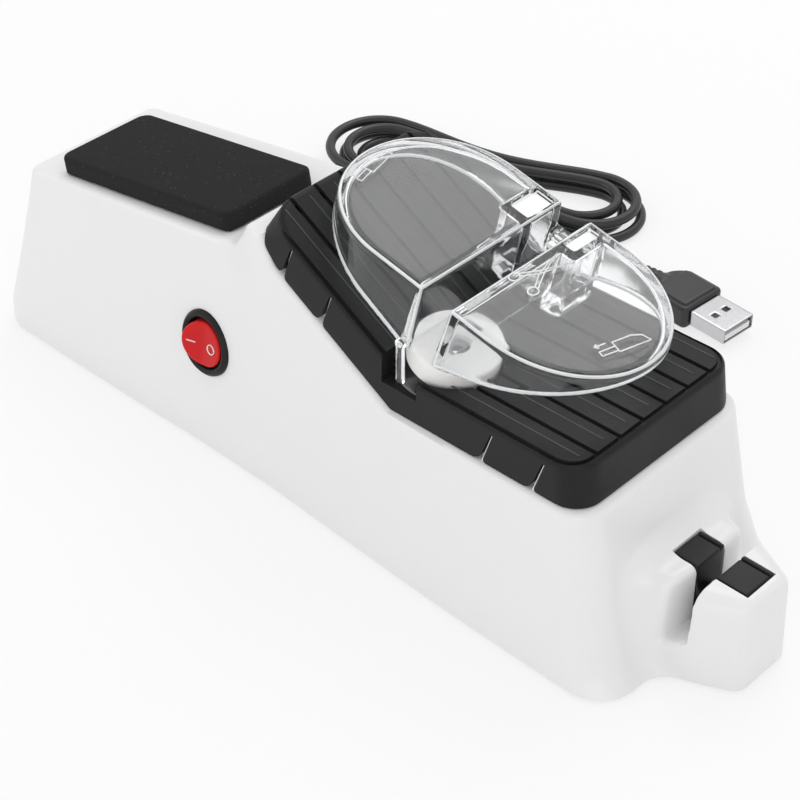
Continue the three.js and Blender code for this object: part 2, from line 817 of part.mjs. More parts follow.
const pegKeep = sideSlab([
  [coverStartX, rampZ(coverStartX) - pegLong],
  [coverValleyX, coverValleyZ - coverThick],
  [noseTipX, flatZ(noseTipX) - coverThick],
  [noseTipX, levelTop],
  [coverStartX, levelTop],
], -farSide, farSide);
const pegSpecs = [[leftPocketX, leftPocketWide], [rightPocketX, rightPocketWide]];
const tabSide = (bottom) => [
  [tabX - tabWide / 2, bottom],
  [tabX + tabWide / 2, bottom],
  [tabX + tabWide / 2 + gap, tabTopZ],
  [tabX - tabWide / 2 + gap, tabTopZ],
];
const tab = joined(
  sideSlab(tabSide(tabBottomZ), tabY, tabY + tabThick),
  sideSlab(tabSide(tabTopZ - tabThick), tabY, tabY + tabReach),
);
const clearGuard = cut(
  joined(
    placed(leftLobe, guardMatrix).intersect(rimLeft),
    placed(rightLobe, guardMatrix).intersect(rimRight),
    placed(leftPost.intersect(postKeep[0]), guardMatrix).intersect(rimLeft),
    placed(leftPost.intersect(footKeep), guardMatrix).intersect(aboveCover),
    placed(rightPost.intersect(postKeep[1]), guardMatrix).intersect(aboveCover),
    placed(bridge, guardMatrix),
    ...pegSpecs.map(([x, wide]) => placed(pegAt(x, wide, 0, guardReach), guardMatrix).intersect(pegKeep)),
    tab,
  ),
  ...pockets.map((pocket) => placed(pocket, guardMatrix)),
);

const pegHoles = pegSpecs.map(([x, wide]) => placed(pegAt(x, wide, gap, guardReach + overrun), guardMatrix));
const recessBlock = (grow, top) => block(
  notchStartX - recessWall - grow,
  notchEndX + recessWall + grow,
  -coverHalf - grow,
  notchDepth + recessWall + grow - coverHalf,
  notchFloorZ - recessWall - grow,
  top,
);
const coverShell = joined(cut(coverOuter, coverInner), recessBlock(0, levelTop).intersect(coverOuter));
const guideCover = cut(coverShell, ...grooves, endGroove, ...slits, notch, ...pegHoles, wheelPocket);

// Housing with its cuts
const upperHousing = cut(
  joined(
    cut(outerBody.intersect(block(farLeft, farRight, -farSide, farSide, housingBottom, levelTop)), innerSpace),
    ...bosses,
    ...bracketPosts,
  ),
  block(farLeft, farRight, -farSide, farSide, -overrun, housingBottom),
  ...screwSpots.map(([x, y]) => bossHole(x, y)),
  ...bracketPostHoles,
  wheelPocket,
  switchHole,
  switchSeat,
  outletHole,
  slotCut,
  ...slotFlares,
  insertPocket,
  recessBlock(gap, levelTop),
);

// Hone pad, in the frame of the tilted block
const padMatrix = matrixOf(
  new THREE.Vector3(padStartX, padCentreY, blockLine(padStartX) + gap),
  new THREE.Euler(0, -blockTilt, 0),
);
const padOutline = (inset) => roundedOutline(inset, padLong - inset, inset - padWide / 2, padWide / 2 - inset, padCorner);
const honePad = stack([
  { z: 0, points: padOutline(0) },
  { z: padThick - padCrown, points: padOutline(0) },
  { z: padThick, points: padOutline(padCrown) },
]);

// Nose insert and its crossed blades
const insertLeg = (x0, x1) => cut(
  roundedBlock(x0, x1, -insertHalf, insertHalf, insertFloorZ, noseTopZ + gap, gap),
  block(x0 - overrun, x1 + overrun, insertHalf - insertRim - insertGroove, insertHalf - insertRim, noseTopZ - insertGroove, levelTop),
);
const noseInsert = joined(
  insertLeg(insertStartX, slotStartX),
  insertLeg(slotEndX, insertEndX),
  block(insertStartX + gap, insertEndX - gap, -insertHalf, insertHalf, insertFloorZ, insertWebTop),
);
const bladeBlock = toSolid(new THREE.BoxGeometry(bladeLong, bladeThick, bladeTall));
const bladePoses = [-1, 1].map((side) => matrixOf(
  new THREE.Vector3((slotStartX + slotEndX) / 2, side * bladeY, bladeZ),
  new THREE.Euler(0, side * bladeTilt, 0),
));
const bladeSlots = bladePoses.map((pose) => placed(
  toSolid(new THREE.BoxGeometry(bladeLong + gap + gap, bladeThick + gap + gap, bladeTall + gap + gap)),
  pose,
));
const slottedInsert = cut(noseInsert, ...bladeSlots);

// Wheel and drive
const grindingWheel = turned([
  [wheelBore, -wheelThick],
  [wheelRadius - wheelChamfer, -wheelThick],
  [wheelRadius, wheelChamfer - wheelThick],
  [wheelRadius, -wheelChamfer],
  [wheelRadius - wheelChamfer, 0],
  [wheelBore, 0],
  [wheelBore, -wheelThick],
]);
const wheelHub = turned([
  [hubBore, -hubTopDrop - wheelThick - hubFlangeThick],
  [hubFlange, -hubTopDrop - wheelThick - hubFlangeThick],
  [hubFlange, -wheelThick - gap],
  [hubRadius, -wheelThick - gap],
  [hubRadius, -hubTopDrop],
  [hubBore, -hubTopDrop],
  [hubBore, -hubTopDrop - wheelThick - hubFlangeThick],
]);
const driveShaft = rod(shaftRadius, -shaftEndDrop, -shaftTopDrop);
const motorCan = cut(
  turned([
    [canHole, -canDrop],
    [canHole, -canDrop - canWall],
    [canRadius - canWall, -canDrop - canWall],
    [canRadius - canWall, -canDrop - canLong],
    [canRadius, -canDrop - canLong],
    [canRadius, -canDrop - canWall],
    [canRadius - canWall, -canDrop],
    [canHole, -canDrop],
  ]),
  ...[-motorScrewY, motorScrewY].map((y) => rod(screwShank + screwClear, -canDrop - overrun, overrun - canDrop).translate(0, y, 0)),
);
const motorBush = ring(shaftRadius + gap, bushRadius, -canDrop - bushLong + gap, gap - canDrop, smallRoundSteps);
const motorRotor = ring(shaftRadius + gap, rotorRadius, -rotorDrop - rotorLong, -rotorDrop);
const magnetArc = Array.from({ length: arcSteps + arcSteps + 1 }, (unused, step) => (
  magnetSpan * (step / (arcSteps + arcSteps) - 1 / 2)
));
const magnetOutline = [
  ...magnetArc.map((angle) => [magnetOuter * Math.cos(angle), magnetOuter * Math.sin(angle)]),
  ...magnetArc.map((angle) => [magnetInner * Math.cos(angle), magnetInner * Math.sin(angle)]).reverse(),
];
const motorMagnet = stack([
  { z: -magnetDrop - magnetLong, points: magnetOutline },
  { z: -magnetDrop, points: magnetOutline },
]);
const motorEndCap = cut(
  ring(shaftRadius + gap, canRadius - canWall, -capDrop - capLong, -capDrop),
  ...[-terminalX, terminalX].map((x) => block(
    x - terminalThick / 2 - gap,
    x + terminalThick / 2 + gap,
    -terminalWide / 2 - gap,
    terminalWide / 2 + gap,
    -capDrop - capLong - overrun,
    -capDrop - capLong / 2,
  )),
);
const motorTerminal = block(
  -terminalThick / 2,
  terminalThick / 2,
  -terminalWide / 2,
  terminalWide / 2,
  -capDrop - capLong / 2 - gap - terminalLong,
  -capDrop - capLong / 2 - gap,
);
const motorBracket = cut(
  stack([-bracketDrop - bracketThick, -bracketDrop].map((z) => ({
    z,
    points: roundedOutline(-bracketLong / 2, bracketLong / 2, -bracketWide / 2, bracketWide / 2, overrun),
  }))),
  rod(bracketHole, -bracketDrop - overrun, overrun - bracketDrop),
  ...[-bracketScrewX, bracketScrewX].map((x) => rod(screwShank + screwClear, -bracketDrop - overrun, overrun - bracketDrop).translate(x, 0, 0)),
  ...[-motorScrewY, motorScrewY].map((y) => rod(screwShank + screwClear, -bracketDrop - overrun, overrun - bracketDrop).translate(0, y, 0)),
);
const screwSolid = (shank, head, headThick, long) => turned([
  [0, -long],
  [shank, -long],
  [shank, 0],
  [head, 0],
  [head, headThick / 2],
  [head - headThick / 2, headThick],
  [0, headThick],
], smallRoundSteps);
const motorScrew = screwSolid(screwShank, screwHead, screwHeadThick, screwLong);
const bracketScrew = screwSolid(screwShank, screwHead, screwHeadThick, bracketScrewLong);
const baseScrew = screwSolid(baseScrewShank, baseScrewHead, baseScrewHeadThick, baseScrewLong);

// Rocker switch
const bezelSolid = cut(
  turned([
    [0, -bezelDeep],
    [bezelBody, -bezelDeep],
    [bezelBody, gap - seatDeep],
    [bezelRadius, gap - seatDeep],
    [bezelRadius, bezelThick - coverEdge],
    [bezelRadius - coverEdge, bezelThick],
    [bezelWell, bezelThick],
    [bezelWell, -wellDeep],
    [0, -wellDeep],
  ]),
);
const rockerSide = [
  [-rockerFoot, -rockerThick],
  [rockerFoot, -rockerThick],
  [rockerRadius, 0],
  [rockerRadius, rockerPeak],
  [0, rockerPeak / 2],
  [-rockerRadius, rockerPeak],
  [-rockerRadius, 0],
];
const rockerSolid = rod(rockerRadius, -rockerThick, rockerPeak + overrun, roundSteps)
  .intersect(sideSlab(rockerSide, -rockerRadius, rockerRadius));
const lugSolid = block(-lugWide / 2, lugWide / 2, -lugHalf, lugHalf, -bezelDeep - gap - lugLong, -bezelDeep - gap);

// Cord pieces
const cordShape = (radius, sides) => new THREE.Shape(Array.from({ length: sides }, (unused, side) => {
  const angle = (Math.PI * 2 * side) / sides;
  return new THREE.Vector2(radius * Math.cos(angle), radius * Math.sin(angle));
}));
const swept = (points, radius, sides, steps) => {
  const rough = new THREE.CatmullRomCurve3(points.map(([x, y, z]) => new THREE.Vector3(x, y, z)), false, 'centripetal');
  const spots = rough.getSpacedPoints(steps);
  spots.forEach((spot) => spot.setZ(Math.max(spot.z, cordFloor)));
  const path = new THREE.CatmullRomCurve3(spots, false, 'centripetal');
  return toSolid(new THREE.ExtrudeGeometry(cordShape(radius, sides), { steps, extrudePath: path, bevelEnabled: false }));
};
const cordSides = 8;
const hankSides = 6;

// Hank of four turns: two spiral in on the floor, two spiral out on top of them
const hankArcSteps = hankSteps / 2 - hankStraightSteps;
const hankSpot = (along, across, z) => new THREE.Vector3(
  hankX + along * Math.cos(hankYaw) - across * Math.sin(hankYaw),
  hankY + along * Math.sin(hankYaw) + across * Math.cos(hankYaw),
  z,
);
const hankAt = (turn) => {
  const used = turn < hankTurns ? turn : hankTurns + hankTurns - turn;
  const wide = hankWide - hankPitchWide * used;
  const straight = hankLong - hankPitchLong * used - wide;
  const climb = THREE.MathUtils.smoothstep(turn, hankTurns - 1 / 4, hankTurns + 1 / 4);
  const z = cordFloor + hankLayerRise * climb;
  const place = (turn - Math.floor(turn)) * hankSteps;
  const half = hankSteps / 2;
  const side = place < half ? 1 : -1;
  const local = place < half ? place : place - half;
  if (local < hankStraightSteps) {
    const along = straight * (2 * (local / hankStraightSteps) - 1);
    return hankSpot(side * along, -side * wide, z);
  }
  const angle = Math.PI * ((local - hankStraightSteps) / hankArcSteps) - Math.PI / 2;
  return hankSpot(side * (straight + wide * Math.cos(angle)), side * wide * Math.sin(angle), z);
};
class HankCurve extends THREE.Curve {
  getPoint(share, target = new THREE.Vector3()) {
    return target.copy(hankAt(Math.min(share, 1 - weldTolerance / hankLong) * (hankTurns + hankTurns)));
  }
  getPointAt(share, target) {
    return this.getPoint(share, target);
  }
  getTangentAt(share, target) {
    return this.getTangent(share, target);
  }
}
const hankPath = new HankCurve();
const hankCount = (hankTurns + hankTurns) * hankSteps;
const cordHank = toSolid(new THREE.ExtrudeGeometry(cordShape(cordRadius, hankSides), {
  steps: hankCount,
  extrudePath: hankPath,
  bevelEnabled: false,
}));
const fineCount = hankCount * 4;
const finePoints = Array.from({ length: fineCount + 1 }, (unused, step) => hankPath.getPoint(step / fineCount));
let hankGap = hankLong;
finePoints.forEach((point, step) => {
  for (let other = step + hankSteps; other <= fineCount; other += 1) {
    hankGap = Math.min(hankGap, point.distanceTo(finePoints[other]) - cordRadius - cordRadius);
  }
});
console.log('cord hank least gap to itself, mm', hankGap.toFixed(2));

const hankStart = hankPath.getPoint(0);
const hankEnd = hankPath.getPoint(1);
const hankHeading = hankSpot(1, 0, 0).sub(hankSpot(0, 0, 0));
const outletEndY = outletY + grommetLong + gap;
const straightRun = cordRadius * 2;
const leadIn = hankStart.clone().addScaledVector(hankHeading, -gap);
const leadBend = leadIn.clone().addScaledVector(hankHeading, -straightRun);
const leadSpots = [
  [outletX, outletEndY, outletZ],
  [outletX, outletEndY + straightRun, outletZ],
  [leadTurnX, leadTurnY, leadTurnZ],
  [leadLowX, leadLowY, cordFloor],
  [leadBackX, leadBackY, cordFloor],
  [leadBend.x, leadBend.y, leadBend.z],
  [leadIn.x, leadIn.y, leadIn.z],
];
const supplyCord = swept(leadSpots, cordRadius, cordSides, leadSteps);

const plugBack = new THREE.Vector3(-overmoldLong - reliefLong - gap, 0, 0).applyMatrix4(plugMatrix);
const plugBend = new THREE.Vector3(-overmoldLong - reliefLong - gap - straightRun, 0, 0).applyMatrix4(plugMatrix);
const tailOut = hankEnd.clone().addScaledVector(hankHeading, gap);
const tailBend = hankEnd.clone().addScaledVector(hankHeading, gap + straightRun);
const tailLow = hankSpot(-tailLowAlong, -tailAcross, tailLowZ);
const tailFloor = hankSpot(0, -tailAcross - gap, cordFloor);
const tailFar = hankSpot(tailFarAlong, -tailAcross - gap - gap, cordFloor);
const plugCord = swept(
  [tailOut, tailBend, tailLow, tailFloor, tailFar, plugBend, plugBack].map((spot) => [spot.x, spot.y, spot.z]),
  cordRadius,
  cordSides,
  tailSteps,
);

const supplyGrommet = placed(turned([
  [0, -wall - gap - coverThick],
  [grommetFlange, -wall - gap - coverThick],
  [grommetFlange, -wall - gap - gap],
  [grommetNeck, -wall - gap - gap],
  [grommetNeck, gap],
  [grommetFlange, gap],
  [grommetFlange, coverThick],
  [grommetBoot, coverThick + gap],
  [grommetEnd, grommetLong],
  [0, grommetLong],
], smallRoundSteps), matrixOf(new THREE.Vector3(outletX, outletY, outletZ), new THREE.Euler(-Math.PI / 2, 0, 0)));

// Plug
const plugOvermold = joined(
  roundedBlock(-overmoldLong, -gap, -overmoldWide / 2, overmoldWide / 2, -overmoldTall / 2, overmoldTall / 2, overmoldCorner),
  placed(turned([
    [0, -reliefLong],
    [reliefRadius - coverEdge / 2, -reliefLong],
    [reliefRadius, 0],
    [reliefRadius, coverThick],
    [0, coverThick],
  ], smallRoundSteps), matrixOf(new THREE.Vector3(-overmoldLong, 0, 0), new THREE.Euler(0, Math.PI / 2, 0))),
);
const usbShell = cut(
  block(0, shellLong, -shellWide / 2, shellWide / 2, -shellTall / 2, shellTall / 2),
  block(
    shellWall,
    shellLong + overrun,
    shellWall - shellWide / 2,
    shellWide / 2 - shellWall,
    shellWall - shellTall / 2,
    shellTall / 2 - shellWall,
  ),
);
const usbTongue = block(
  shellWall + gap,
  shellLong - shellWall,
  tongueInset - shellWide / 2 + gap,
  shellWide / 2 - tongueInset - gap,
  -shellTall / 2 + shellWall + gap,
  -shellTall / 2 + shellWall + gap + tongueTall,
);

// Inner wires, from the grommet and the motor to the switch
const wireRun = wireRadius * 4;
const lugEnd = (x, out) => new THREE.Vector3(x, 0, -bezelDeep - gap - lugLong - out).applyMatrix4(switchMatrix);
const motorEnd = (x, out) => new THREE.Vector3(x, 0, -capDrop - capLong / 2 - gap - terminalLong - out)
  .applyMatrix4(driveMatrix);
const grommetInner = (offset, out) => new THREE.Vector3(
  outletX + offset,
  outletY - wall - gap - coverThick - out,
  outletZ,
);
const wireAlong = (ends) => swept(ends.map((spot) => [spot.x, spot.y, spot.z]), wireRadius, hankSides, wireSteps);
const motorWire = wireAlong([
  motorEnd(-terminalX, gap + gap),
  motorEnd(-terminalX, gap + wireRun / 2),
  new THREE.Vector3(wireMidX, wireMidY, wireMidZ),
  lugEnd(lugX, gap + wireRun),
  lugEnd(lugX, gap),
]);
const feedWire = wireAlong([
  grommetInner(-wireRun / 2, gap),
  grommetInner(-wireRun / 2, gap + wireRun),
  new THREE.Vector3(feedMidX, wireMidY, wireMidZ),
  lugEnd(-lugX, gap + wireRun),
  lugEnd(-lugX, gap),
]);
const returnWire = wireAlong([
  grommetInner(wireRun / 2, gap),
  grommetInner(wireRun / 2, gap + wireRun),
  new THREE.Vector3(returnMidX, returnMidY, wireMidZ),
  new THREE.Vector3(wireMidX, returnMidY, wireMidZ),
  motorEnd(terminalX, gap + wireRun / 2),
  motorEnd(terminalX, gap + gap),
]);

// Assembly
const finish = (color, roughness, metalness, extra = {}) => new THREE.MeshStandardMaterial({ color, roughness, metalness, ...extra });
const whiteGloss = finish('#ececec', 0.3, 0);
const blackSatin = finish('#2c2c2c', 0.5, 0);
const padBlack = finish('#303030', 0.95, 0);
const insertBlack = finish('#262626', 0.4, 0);
const clearPlastic = finish('#e9eef0', 0.08, 0, { transparent: true, opacity: 0.35 });
const redGloss = finish('#d9202c', 0.3, 0);
const wheelWhite = finish('#f1f0ec', 0.85, 0);
const hubGrey = finish('#9a9a9a', 0.5, 0.1);
const steel = finish('#c4c6c8', 0.3, 1);
const brass = finish('#c9a24a', 0.35, 1);
const copper = finish('#b06a3a', 0.4, 1);
const magnetGrey = finish('#3c3c40', 0.7, 0.2);
const rubber = finish('#1d1d1d', 0.9, 0);
const cordBlack = finish('#1f1f20', 0.4, 0);
const wireRed = finish('#b02020', 0.45, 0);
const wireBlack = finish('#202020', 0.45, 0);
const plateGrey = finish('#e2e2e2', 0.45, 0);

const group = new THREE.Group();
group.name = 'knife_sharpener';
const body = new THREE.Group();
body.position.set(-centreX, 0, 0);
group.add(body);

const frameAt = (position, rotation, parent = body) => {
  const holder = new THREE.Group();
  holder.position.copy(position);
  holder.rotation.copy(rotation);
  parent.add(holder);
  return holder;
};

const addMesh = (name, solid, material, parent = body) => {
  const mesh = new THREE.Mesh(toGeometry(solid), material.clone());
  mesh.name = name;
  parent.add(mesh);
  return mesh;
};

addMesh('upper_housing', upperHousing, whiteGloss);
addMesh('base_plate', basePlate, plateGrey);
addMesh('guide_cover', guideCover, blackSatin);
addMesh('clear_guard', clearGuard, clearPlastic);
const padFrame = frameAt(
  new THREE.Vector3(padStartX, padCentreY, blockLine(padStartX) + gap),
  new THREE.Euler(0, -blockTilt, 0),
);
addMesh('hone_pad', honePad, padBlack, padFrame);
addMesh('nose_insert', slottedInsert, insertBlack);
[-1, 1].forEach((side, place) => {
  const holder = frameAt(
    new THREE.Vector3((slotStartX + slotEndX) / 2, side * bladeY, bladeZ),
    new THREE.Euler(0, side * bladeTilt, 0),
  );
  addMesh(`hone_blade_${place + 1}`, bladeBlock, steel, holder);
});

const driveFrame = frameAt(driveSpot, driveTurn);
addMesh('grinding_wheel', grindingWheel, wheelWhite, driveFrame);
addMesh('wheel_hub', wheelHub, hubGrey, driveFrame);
addMesh('drive_shaft', driveShaft, steel, driveFrame);
addMesh('motor_rotor', motorRotor, copper, driveFrame);
addMesh('motor_can', motorCan, steel, driveFrame);
addMesh('motor_bush', motorBush, brass, driveFrame);
addMesh('motor_end_cap', motorEndCap, insertBlack, driveFrame);
addMesh('motor_bracket', motorBracket, steel, driveFrame);
[0, Math.PI].forEach((angle, place) => {
  addMesh(`motor_magnet_${place + 1}`, motorMagnet, magnetGrey, driveFrame).rotation.z = angle;
});
[-terminalX, terminalX].forEach((x, place) => {
  addMesh(`motor_terminal_${place + 1}`, motorTerminal, brass, driveFrame).position.x = x;
});
[-motorScrewY, motorScrewY].forEach((y, place) => {
  addMesh(`motor_screw_${place + 1}`, motorScrew, steel, driveFrame).position.set(0, y, gap - bracketDrop);
});
[-bracketScrewX, bracketScrewX].forEach((x, place) => {
  const screw = addMesh(`bracket_screw_${place + 1}`, bracketScrew, steel, driveFrame);
  screw.position.set(x, 0, -bracketDrop - bracketThick - gap);
  screw.rotation.x = Math.PI;
});

const switchFrame = frameAt(switchSpot, switchTurn);
addMesh('switch_bezel', bezelSolid, blackSatin, switchFrame);
const rockerFrame = frameAt(new THREE.Vector3(0, 0, 0), new THREE.Euler(0, rockerTilt, 0), switchFrame);
addMesh('switch_rocker', rockerSolid, redGloss, rockerFrame);
[-lugX, lugX].forEach((x, place) => {
  addMesh(`switch_terminal_${place + 1}`, lugSolid, brass, switchFrame).position.x = x;
});

screwSpots.forEach(([x, y], place) => {
  const screw = addMesh(`base_screw_${place + 1}`, baseScrew, steel);
  screw.position.set(x, y, plateBottom + baseScrewHeadThick);
  screw.rotation.x = Math.PI;
});
footSpots.forEach(([x, y], place) => {
  addMesh(`foot_${place + 1}`, rod(footRadius, 0, footTop, roundSteps), rubber).position.set(x, y, 0);
});

addMesh('cable_grommet', supplyGrommet, rubber);
addMesh('motor_wire', motorWire, wireRed);
addMesh('feed_wire', feedWire, wireRed);
addMesh('return_wire', returnWire, wireBlack);
addMesh('supply_cord', supplyCord, cordBlack);
addMesh('cord_hank', cordHank, cordBlack);
addMesh('plug_cord', plugCord, cordBlack);
const plugFrame = frameAt(plugSpot, plugTurn);
addMesh('usb_overmold', plugOvermold, cordBlack, plugFrame);
addMesh('usb_shell', usbShell, steel, plugFrame);
addMesh('usb_tongue', usbTongue, plateGrey, plugFrame);

export default group;
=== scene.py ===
# %% [markdown]
# A knife sharpener on a pale table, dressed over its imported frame. The frame holds every
# piece at its real size, so the script only has to make surfaces and finishes. Lengths are
# written in millimetres from the body's heel, as on a drawing, and one helper takes them to
# the frame's metres.

# %% Load the frame
import json
import math

import bmesh
import bpy
import numpy as np
from mathutils import Euler, Matrix, Vector


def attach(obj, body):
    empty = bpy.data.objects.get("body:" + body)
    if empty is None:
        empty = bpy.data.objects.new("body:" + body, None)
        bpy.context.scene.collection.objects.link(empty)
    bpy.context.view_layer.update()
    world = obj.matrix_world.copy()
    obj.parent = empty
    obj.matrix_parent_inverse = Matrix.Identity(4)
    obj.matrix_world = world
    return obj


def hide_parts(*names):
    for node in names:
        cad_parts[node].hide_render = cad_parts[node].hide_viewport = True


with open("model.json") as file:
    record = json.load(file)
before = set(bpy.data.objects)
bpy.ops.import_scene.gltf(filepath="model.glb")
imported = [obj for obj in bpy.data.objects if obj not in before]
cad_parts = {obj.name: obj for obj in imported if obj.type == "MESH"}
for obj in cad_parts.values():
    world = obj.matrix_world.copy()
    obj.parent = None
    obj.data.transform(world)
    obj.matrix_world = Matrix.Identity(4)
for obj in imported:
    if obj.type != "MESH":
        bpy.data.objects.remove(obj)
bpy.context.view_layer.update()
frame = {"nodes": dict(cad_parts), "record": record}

scene = bpy.context.scene
MM = 0.001
ORIGIN_X = 109.0


def metres(points):
    """Points in millimetres from the heel, as metres in the frame."""
    return (np.asarray(points, float) - (ORIGIN_X, 0, 0)) * MM


def add_object(name, data):
    """A new object for some data, linked into the scene."""
    made = bpy.data.objects.new(name, data)
    scene.collection.objects.link(made)
    return made


# %% [markdown]
# The camera comes first. Its place and lens were worked out from edges whose directions are
# known, such as the skirt's bottom line and the corners of the pad. It looks down from the
# near right, with a fairly long lens, so the body tapers only a little.

# %% Camera
CAMERA_AT = (396.35, -298.58, 348.07)
CAMERA_AIM = (112.91, 0.0, 17.19)
CAMERA_LENS = 96.08
SENSOR = 36.0

camera_data = bpy.data.cameras.new("camera")
camera_data.lens = CAMERA_LENS
camera_data.sensor_width = SENSOR
camera_data.clip_start = 0.01
camera_data.clip_end = 20
camera = add_object("camera", camera_data)
scene.camera = camera
camera.location = Vector(metres(CAMERA_AT))
look = Vector(metres(CAMERA_AIM)) - camera.location
camera.rotation_euler = look.to_track_quat("-Z", "Y").to_euler()
print("camera to aim, m", round(look.length, 3))


# %% [markdown]
# Finishes need the same few effects again and again: the fine grain of a moulding tool, the
# slow waviness of a cooled wall, and the faint smears of handling. Each is a node group with
# its own inputs, built once. The groups put out only values, and each material keeps its own
# shader and Bump node.

# %% Node helpers
def socket(tree, name, kind, way, value=None):
    """Adds one named input or output to a node group."""
    made = tree.interface.new_socket(name=name, in_out=way, socket_type=kind)
    if value is not None:
        made.default_value = value
    return made


def group_start(name, inputs, outputs):
    """A new shader group with number inputs and outputs, and its two end nodes."""
    tree = bpy.data.node_groups.new(name, "ShaderNodeTree")
    for title, value in inputs:
        socket(tree, title, "NodeSocketFloat", "INPUT", value)
    for title in outputs:
        socket(tree, title, "NodeSocketFloat", "OUTPUT")
    return tree, tree.nodes.new("NodeGroupInput"), tree.nodes.new("NodeGroupOutput")


def math_node(tree, kind, first, second, clamp=False):
    """A Math node whose inputs are sockets or numbers; returns its output."""
    node = tree.nodes.new("ShaderNodeMath")
    node.operation = kind
    node.use_clamp = clamp
    for slot, value in zip(node.inputs, (first, second)):
        if isinstance(value, (int, float)):
            slot.default_value = value
        else:
            tree.links.new(value, slot)
    return node.outputs[0]


def noise_of(tree, place, size, detail=2.0, roughness=0.5):
    """Noise whose spots are about size metres across; size is a socket or a number."""
    node = tree.nodes.new("ShaderNodeTexNoise")
    node.inputs["Detail"].default_value = detail
    node.inputs["Roughness"].default_value = roughness
    tree.links.new(place, node.inputs["Vector"])
    scale = math_node(tree, "DIVIDE", 1.0, size)
    tree.links.new(scale, node.inputs["Scale"])
    return node.outputs["Fac"]


# %% Moulded skin group
def make_moulded_skin():
    """Grain of the tool, slow waviness and faint smears, all on the piece's own place."""
    tree, start, end = group_start(
        "moulded_skin",
        [("Grain Size", 0.0004), ("Wave Size", 0.03), ("Smear Size", 0.018), ("Wave Share", 0.5)],
        ["Height", "Smear"],
    )
    place = tree.nodes.new("ShaderNodeTexCoord").outputs["Object"]
    grain = noise_of(tree, place, start.outputs["Grain Size"], 3.0, 0.6)
    wave = noise_of(tree, place, start.outputs["Wave Size"], 1.0, 0.4)
    smear = noise_of(tree, place, start.outputs["Smear Size"], 5.0, 0.65)
    wave_part = math_node(tree, "MULTIPLY", wave, start.outputs["Wave Share"])
    height = math_node(tree, "ADD", grain, wave_part)
    spread = math_node(tree, "SUBTRACT", smear, 0.42)
    tree.links.new(height, end.inputs["Height"])
    tree.links.new(math_node(tree, "MULTIPLY", spread, 4.0, clamp=True), end.inputs["Smear"])
    return tree


moulded_skin = make_moulded_skin()
print("group", moulded_skin.name, "nodes", len(moulded_skin.nodes))


# %% Grit group
def make_grit():
    """Pressed grit: crowded grains, and the few that catch the light."""
    tree, start, end = group_start(
        "pressed_grit", [("Grain Size", 0.0003), ("Glint Share", 0.04)], ["Height", "Glint"]
    )
    place = tree.nodes.new("ShaderNodeTexCoord").outputs["Object"]
    cells = tree.nodes.new("ShaderNodeTexVoronoi")
    tree.links.new(place, cells.inputs["Vector"])
    tree.links.new(math_node(tree, "DIVIDE", 1.0, start.outputs["Grain Size"]), cells.inputs["Scale"])
    rough = noise_of(tree, place, 0.0009, 3.0, 0.6)
    height = math_node(tree, "ADD", cells.outputs["Distance"], rough)
    pick = tree.nodes.new("ShaderNodeSeparateColor")
    tree.links.new(cells.outputs["Color"], pick.inputs["Color"])
    edge = math_node(tree, "SUBTRACT", 1.0, start.outputs["Glint Share"])
    glint = math_node(tree, "GREATER_THAN", pick.outputs["Red"], edge)
    tree.links.new(height, end.inputs["Height"])
    tree.links.new(glint, end.inputs["Glint"])
    return tree


pressed_grit = make_grit()
print("group", pressed_grit.name, "nodes", len(pressed_grit.nodes))


# %% [markdown]
# A finish starts as one Principled shader. Small helpers then set inputs by their titles, add
# a Bump node, spread a value over a range or fade between two colours, so that each real
# finish below is only one line of numbers.

# %% Material helpers
def set_inputs(node, values):
    """Sets inputs of a node by their titles."""
    for title, value in values.items():
        node.inputs[title].default_value = value


def new_finish(name, color, roughness, **values):
    """A node material with one Principled shader; returns the material, its tree and shader."""
    finish = bpy.data.materials.new(name)
    finish.use_nodes = True
    finish.diffuse_color = (*color, 1)
    tree = finish.node_tree
    shader = tree.nodes["Principled BSDF"]
    set_inputs(shader, {"Base Color": (*color, 1), "Roughness": roughness})
    set_inputs(shader, values)
    return finish, tree, shader


def add_bump(tree, shader, height, distance, strength=1.0):
    """Lets a height drive the shader's normal."""
    bump = tree.nodes.new("ShaderNodeBump")
    bump.inputs["Distance"].default_value = distance
    bump.inputs["Strength"].default_value = strength
    tree.links.new(height, bump.inputs["Height"])
    tree.links.new(bump.outputs["Normal"], shader.inputs["Normal"])


def ranged(tree, value, low, high):
    """A value from 0 to 1, spread from low to high."""
    node = tree.nodes.new("ShaderNodeMapRange")
    node.inputs["To Min"].default_value = low
    node.inputs["To Max"].default_value = high
    tree.links.new(value, node.inputs["Value"])
    return node.outputs["Result"]


def two_tone(tree, mask, first, second):
    """First colour where the mask is 0, second where it is 1."""
    node = tree.nodes.new("ShaderNodeMix")
    node.data_type = "RGBA"
    node.inputs["A"].default_value = (*first, 1)
    node.inputs["B"].default_value = (*second, 1)
    tree.links.new(mask, node.inputs["Factor"])
    return node.outputs["Result"]


def seen_by(tree, *kinds):
    """1 for rays of the named kinds, 0 for all others."""
    path = tree.nodes.new("ShaderNodeLightPath")
    mask = path.outputs[kinds[0]]
    for kind in kinds[1:]:
        mask = math_node(tree, "MAXIMUM", mask, path.outputs[kind])
    return mask


def mixed(tree, share, first, second, target):
    """Leads two shaders, mixed by a share, to a target socket."""
    node = tree.nodes.new("ShaderNodeMixShader")
    tree.links.new(share, node.inputs["Fac"])
    tree.links.new(first, node.inputs[1])
    tree.links.new(second, node.inputs[2])
    tree.links.new(node.outputs["Shader"], target)


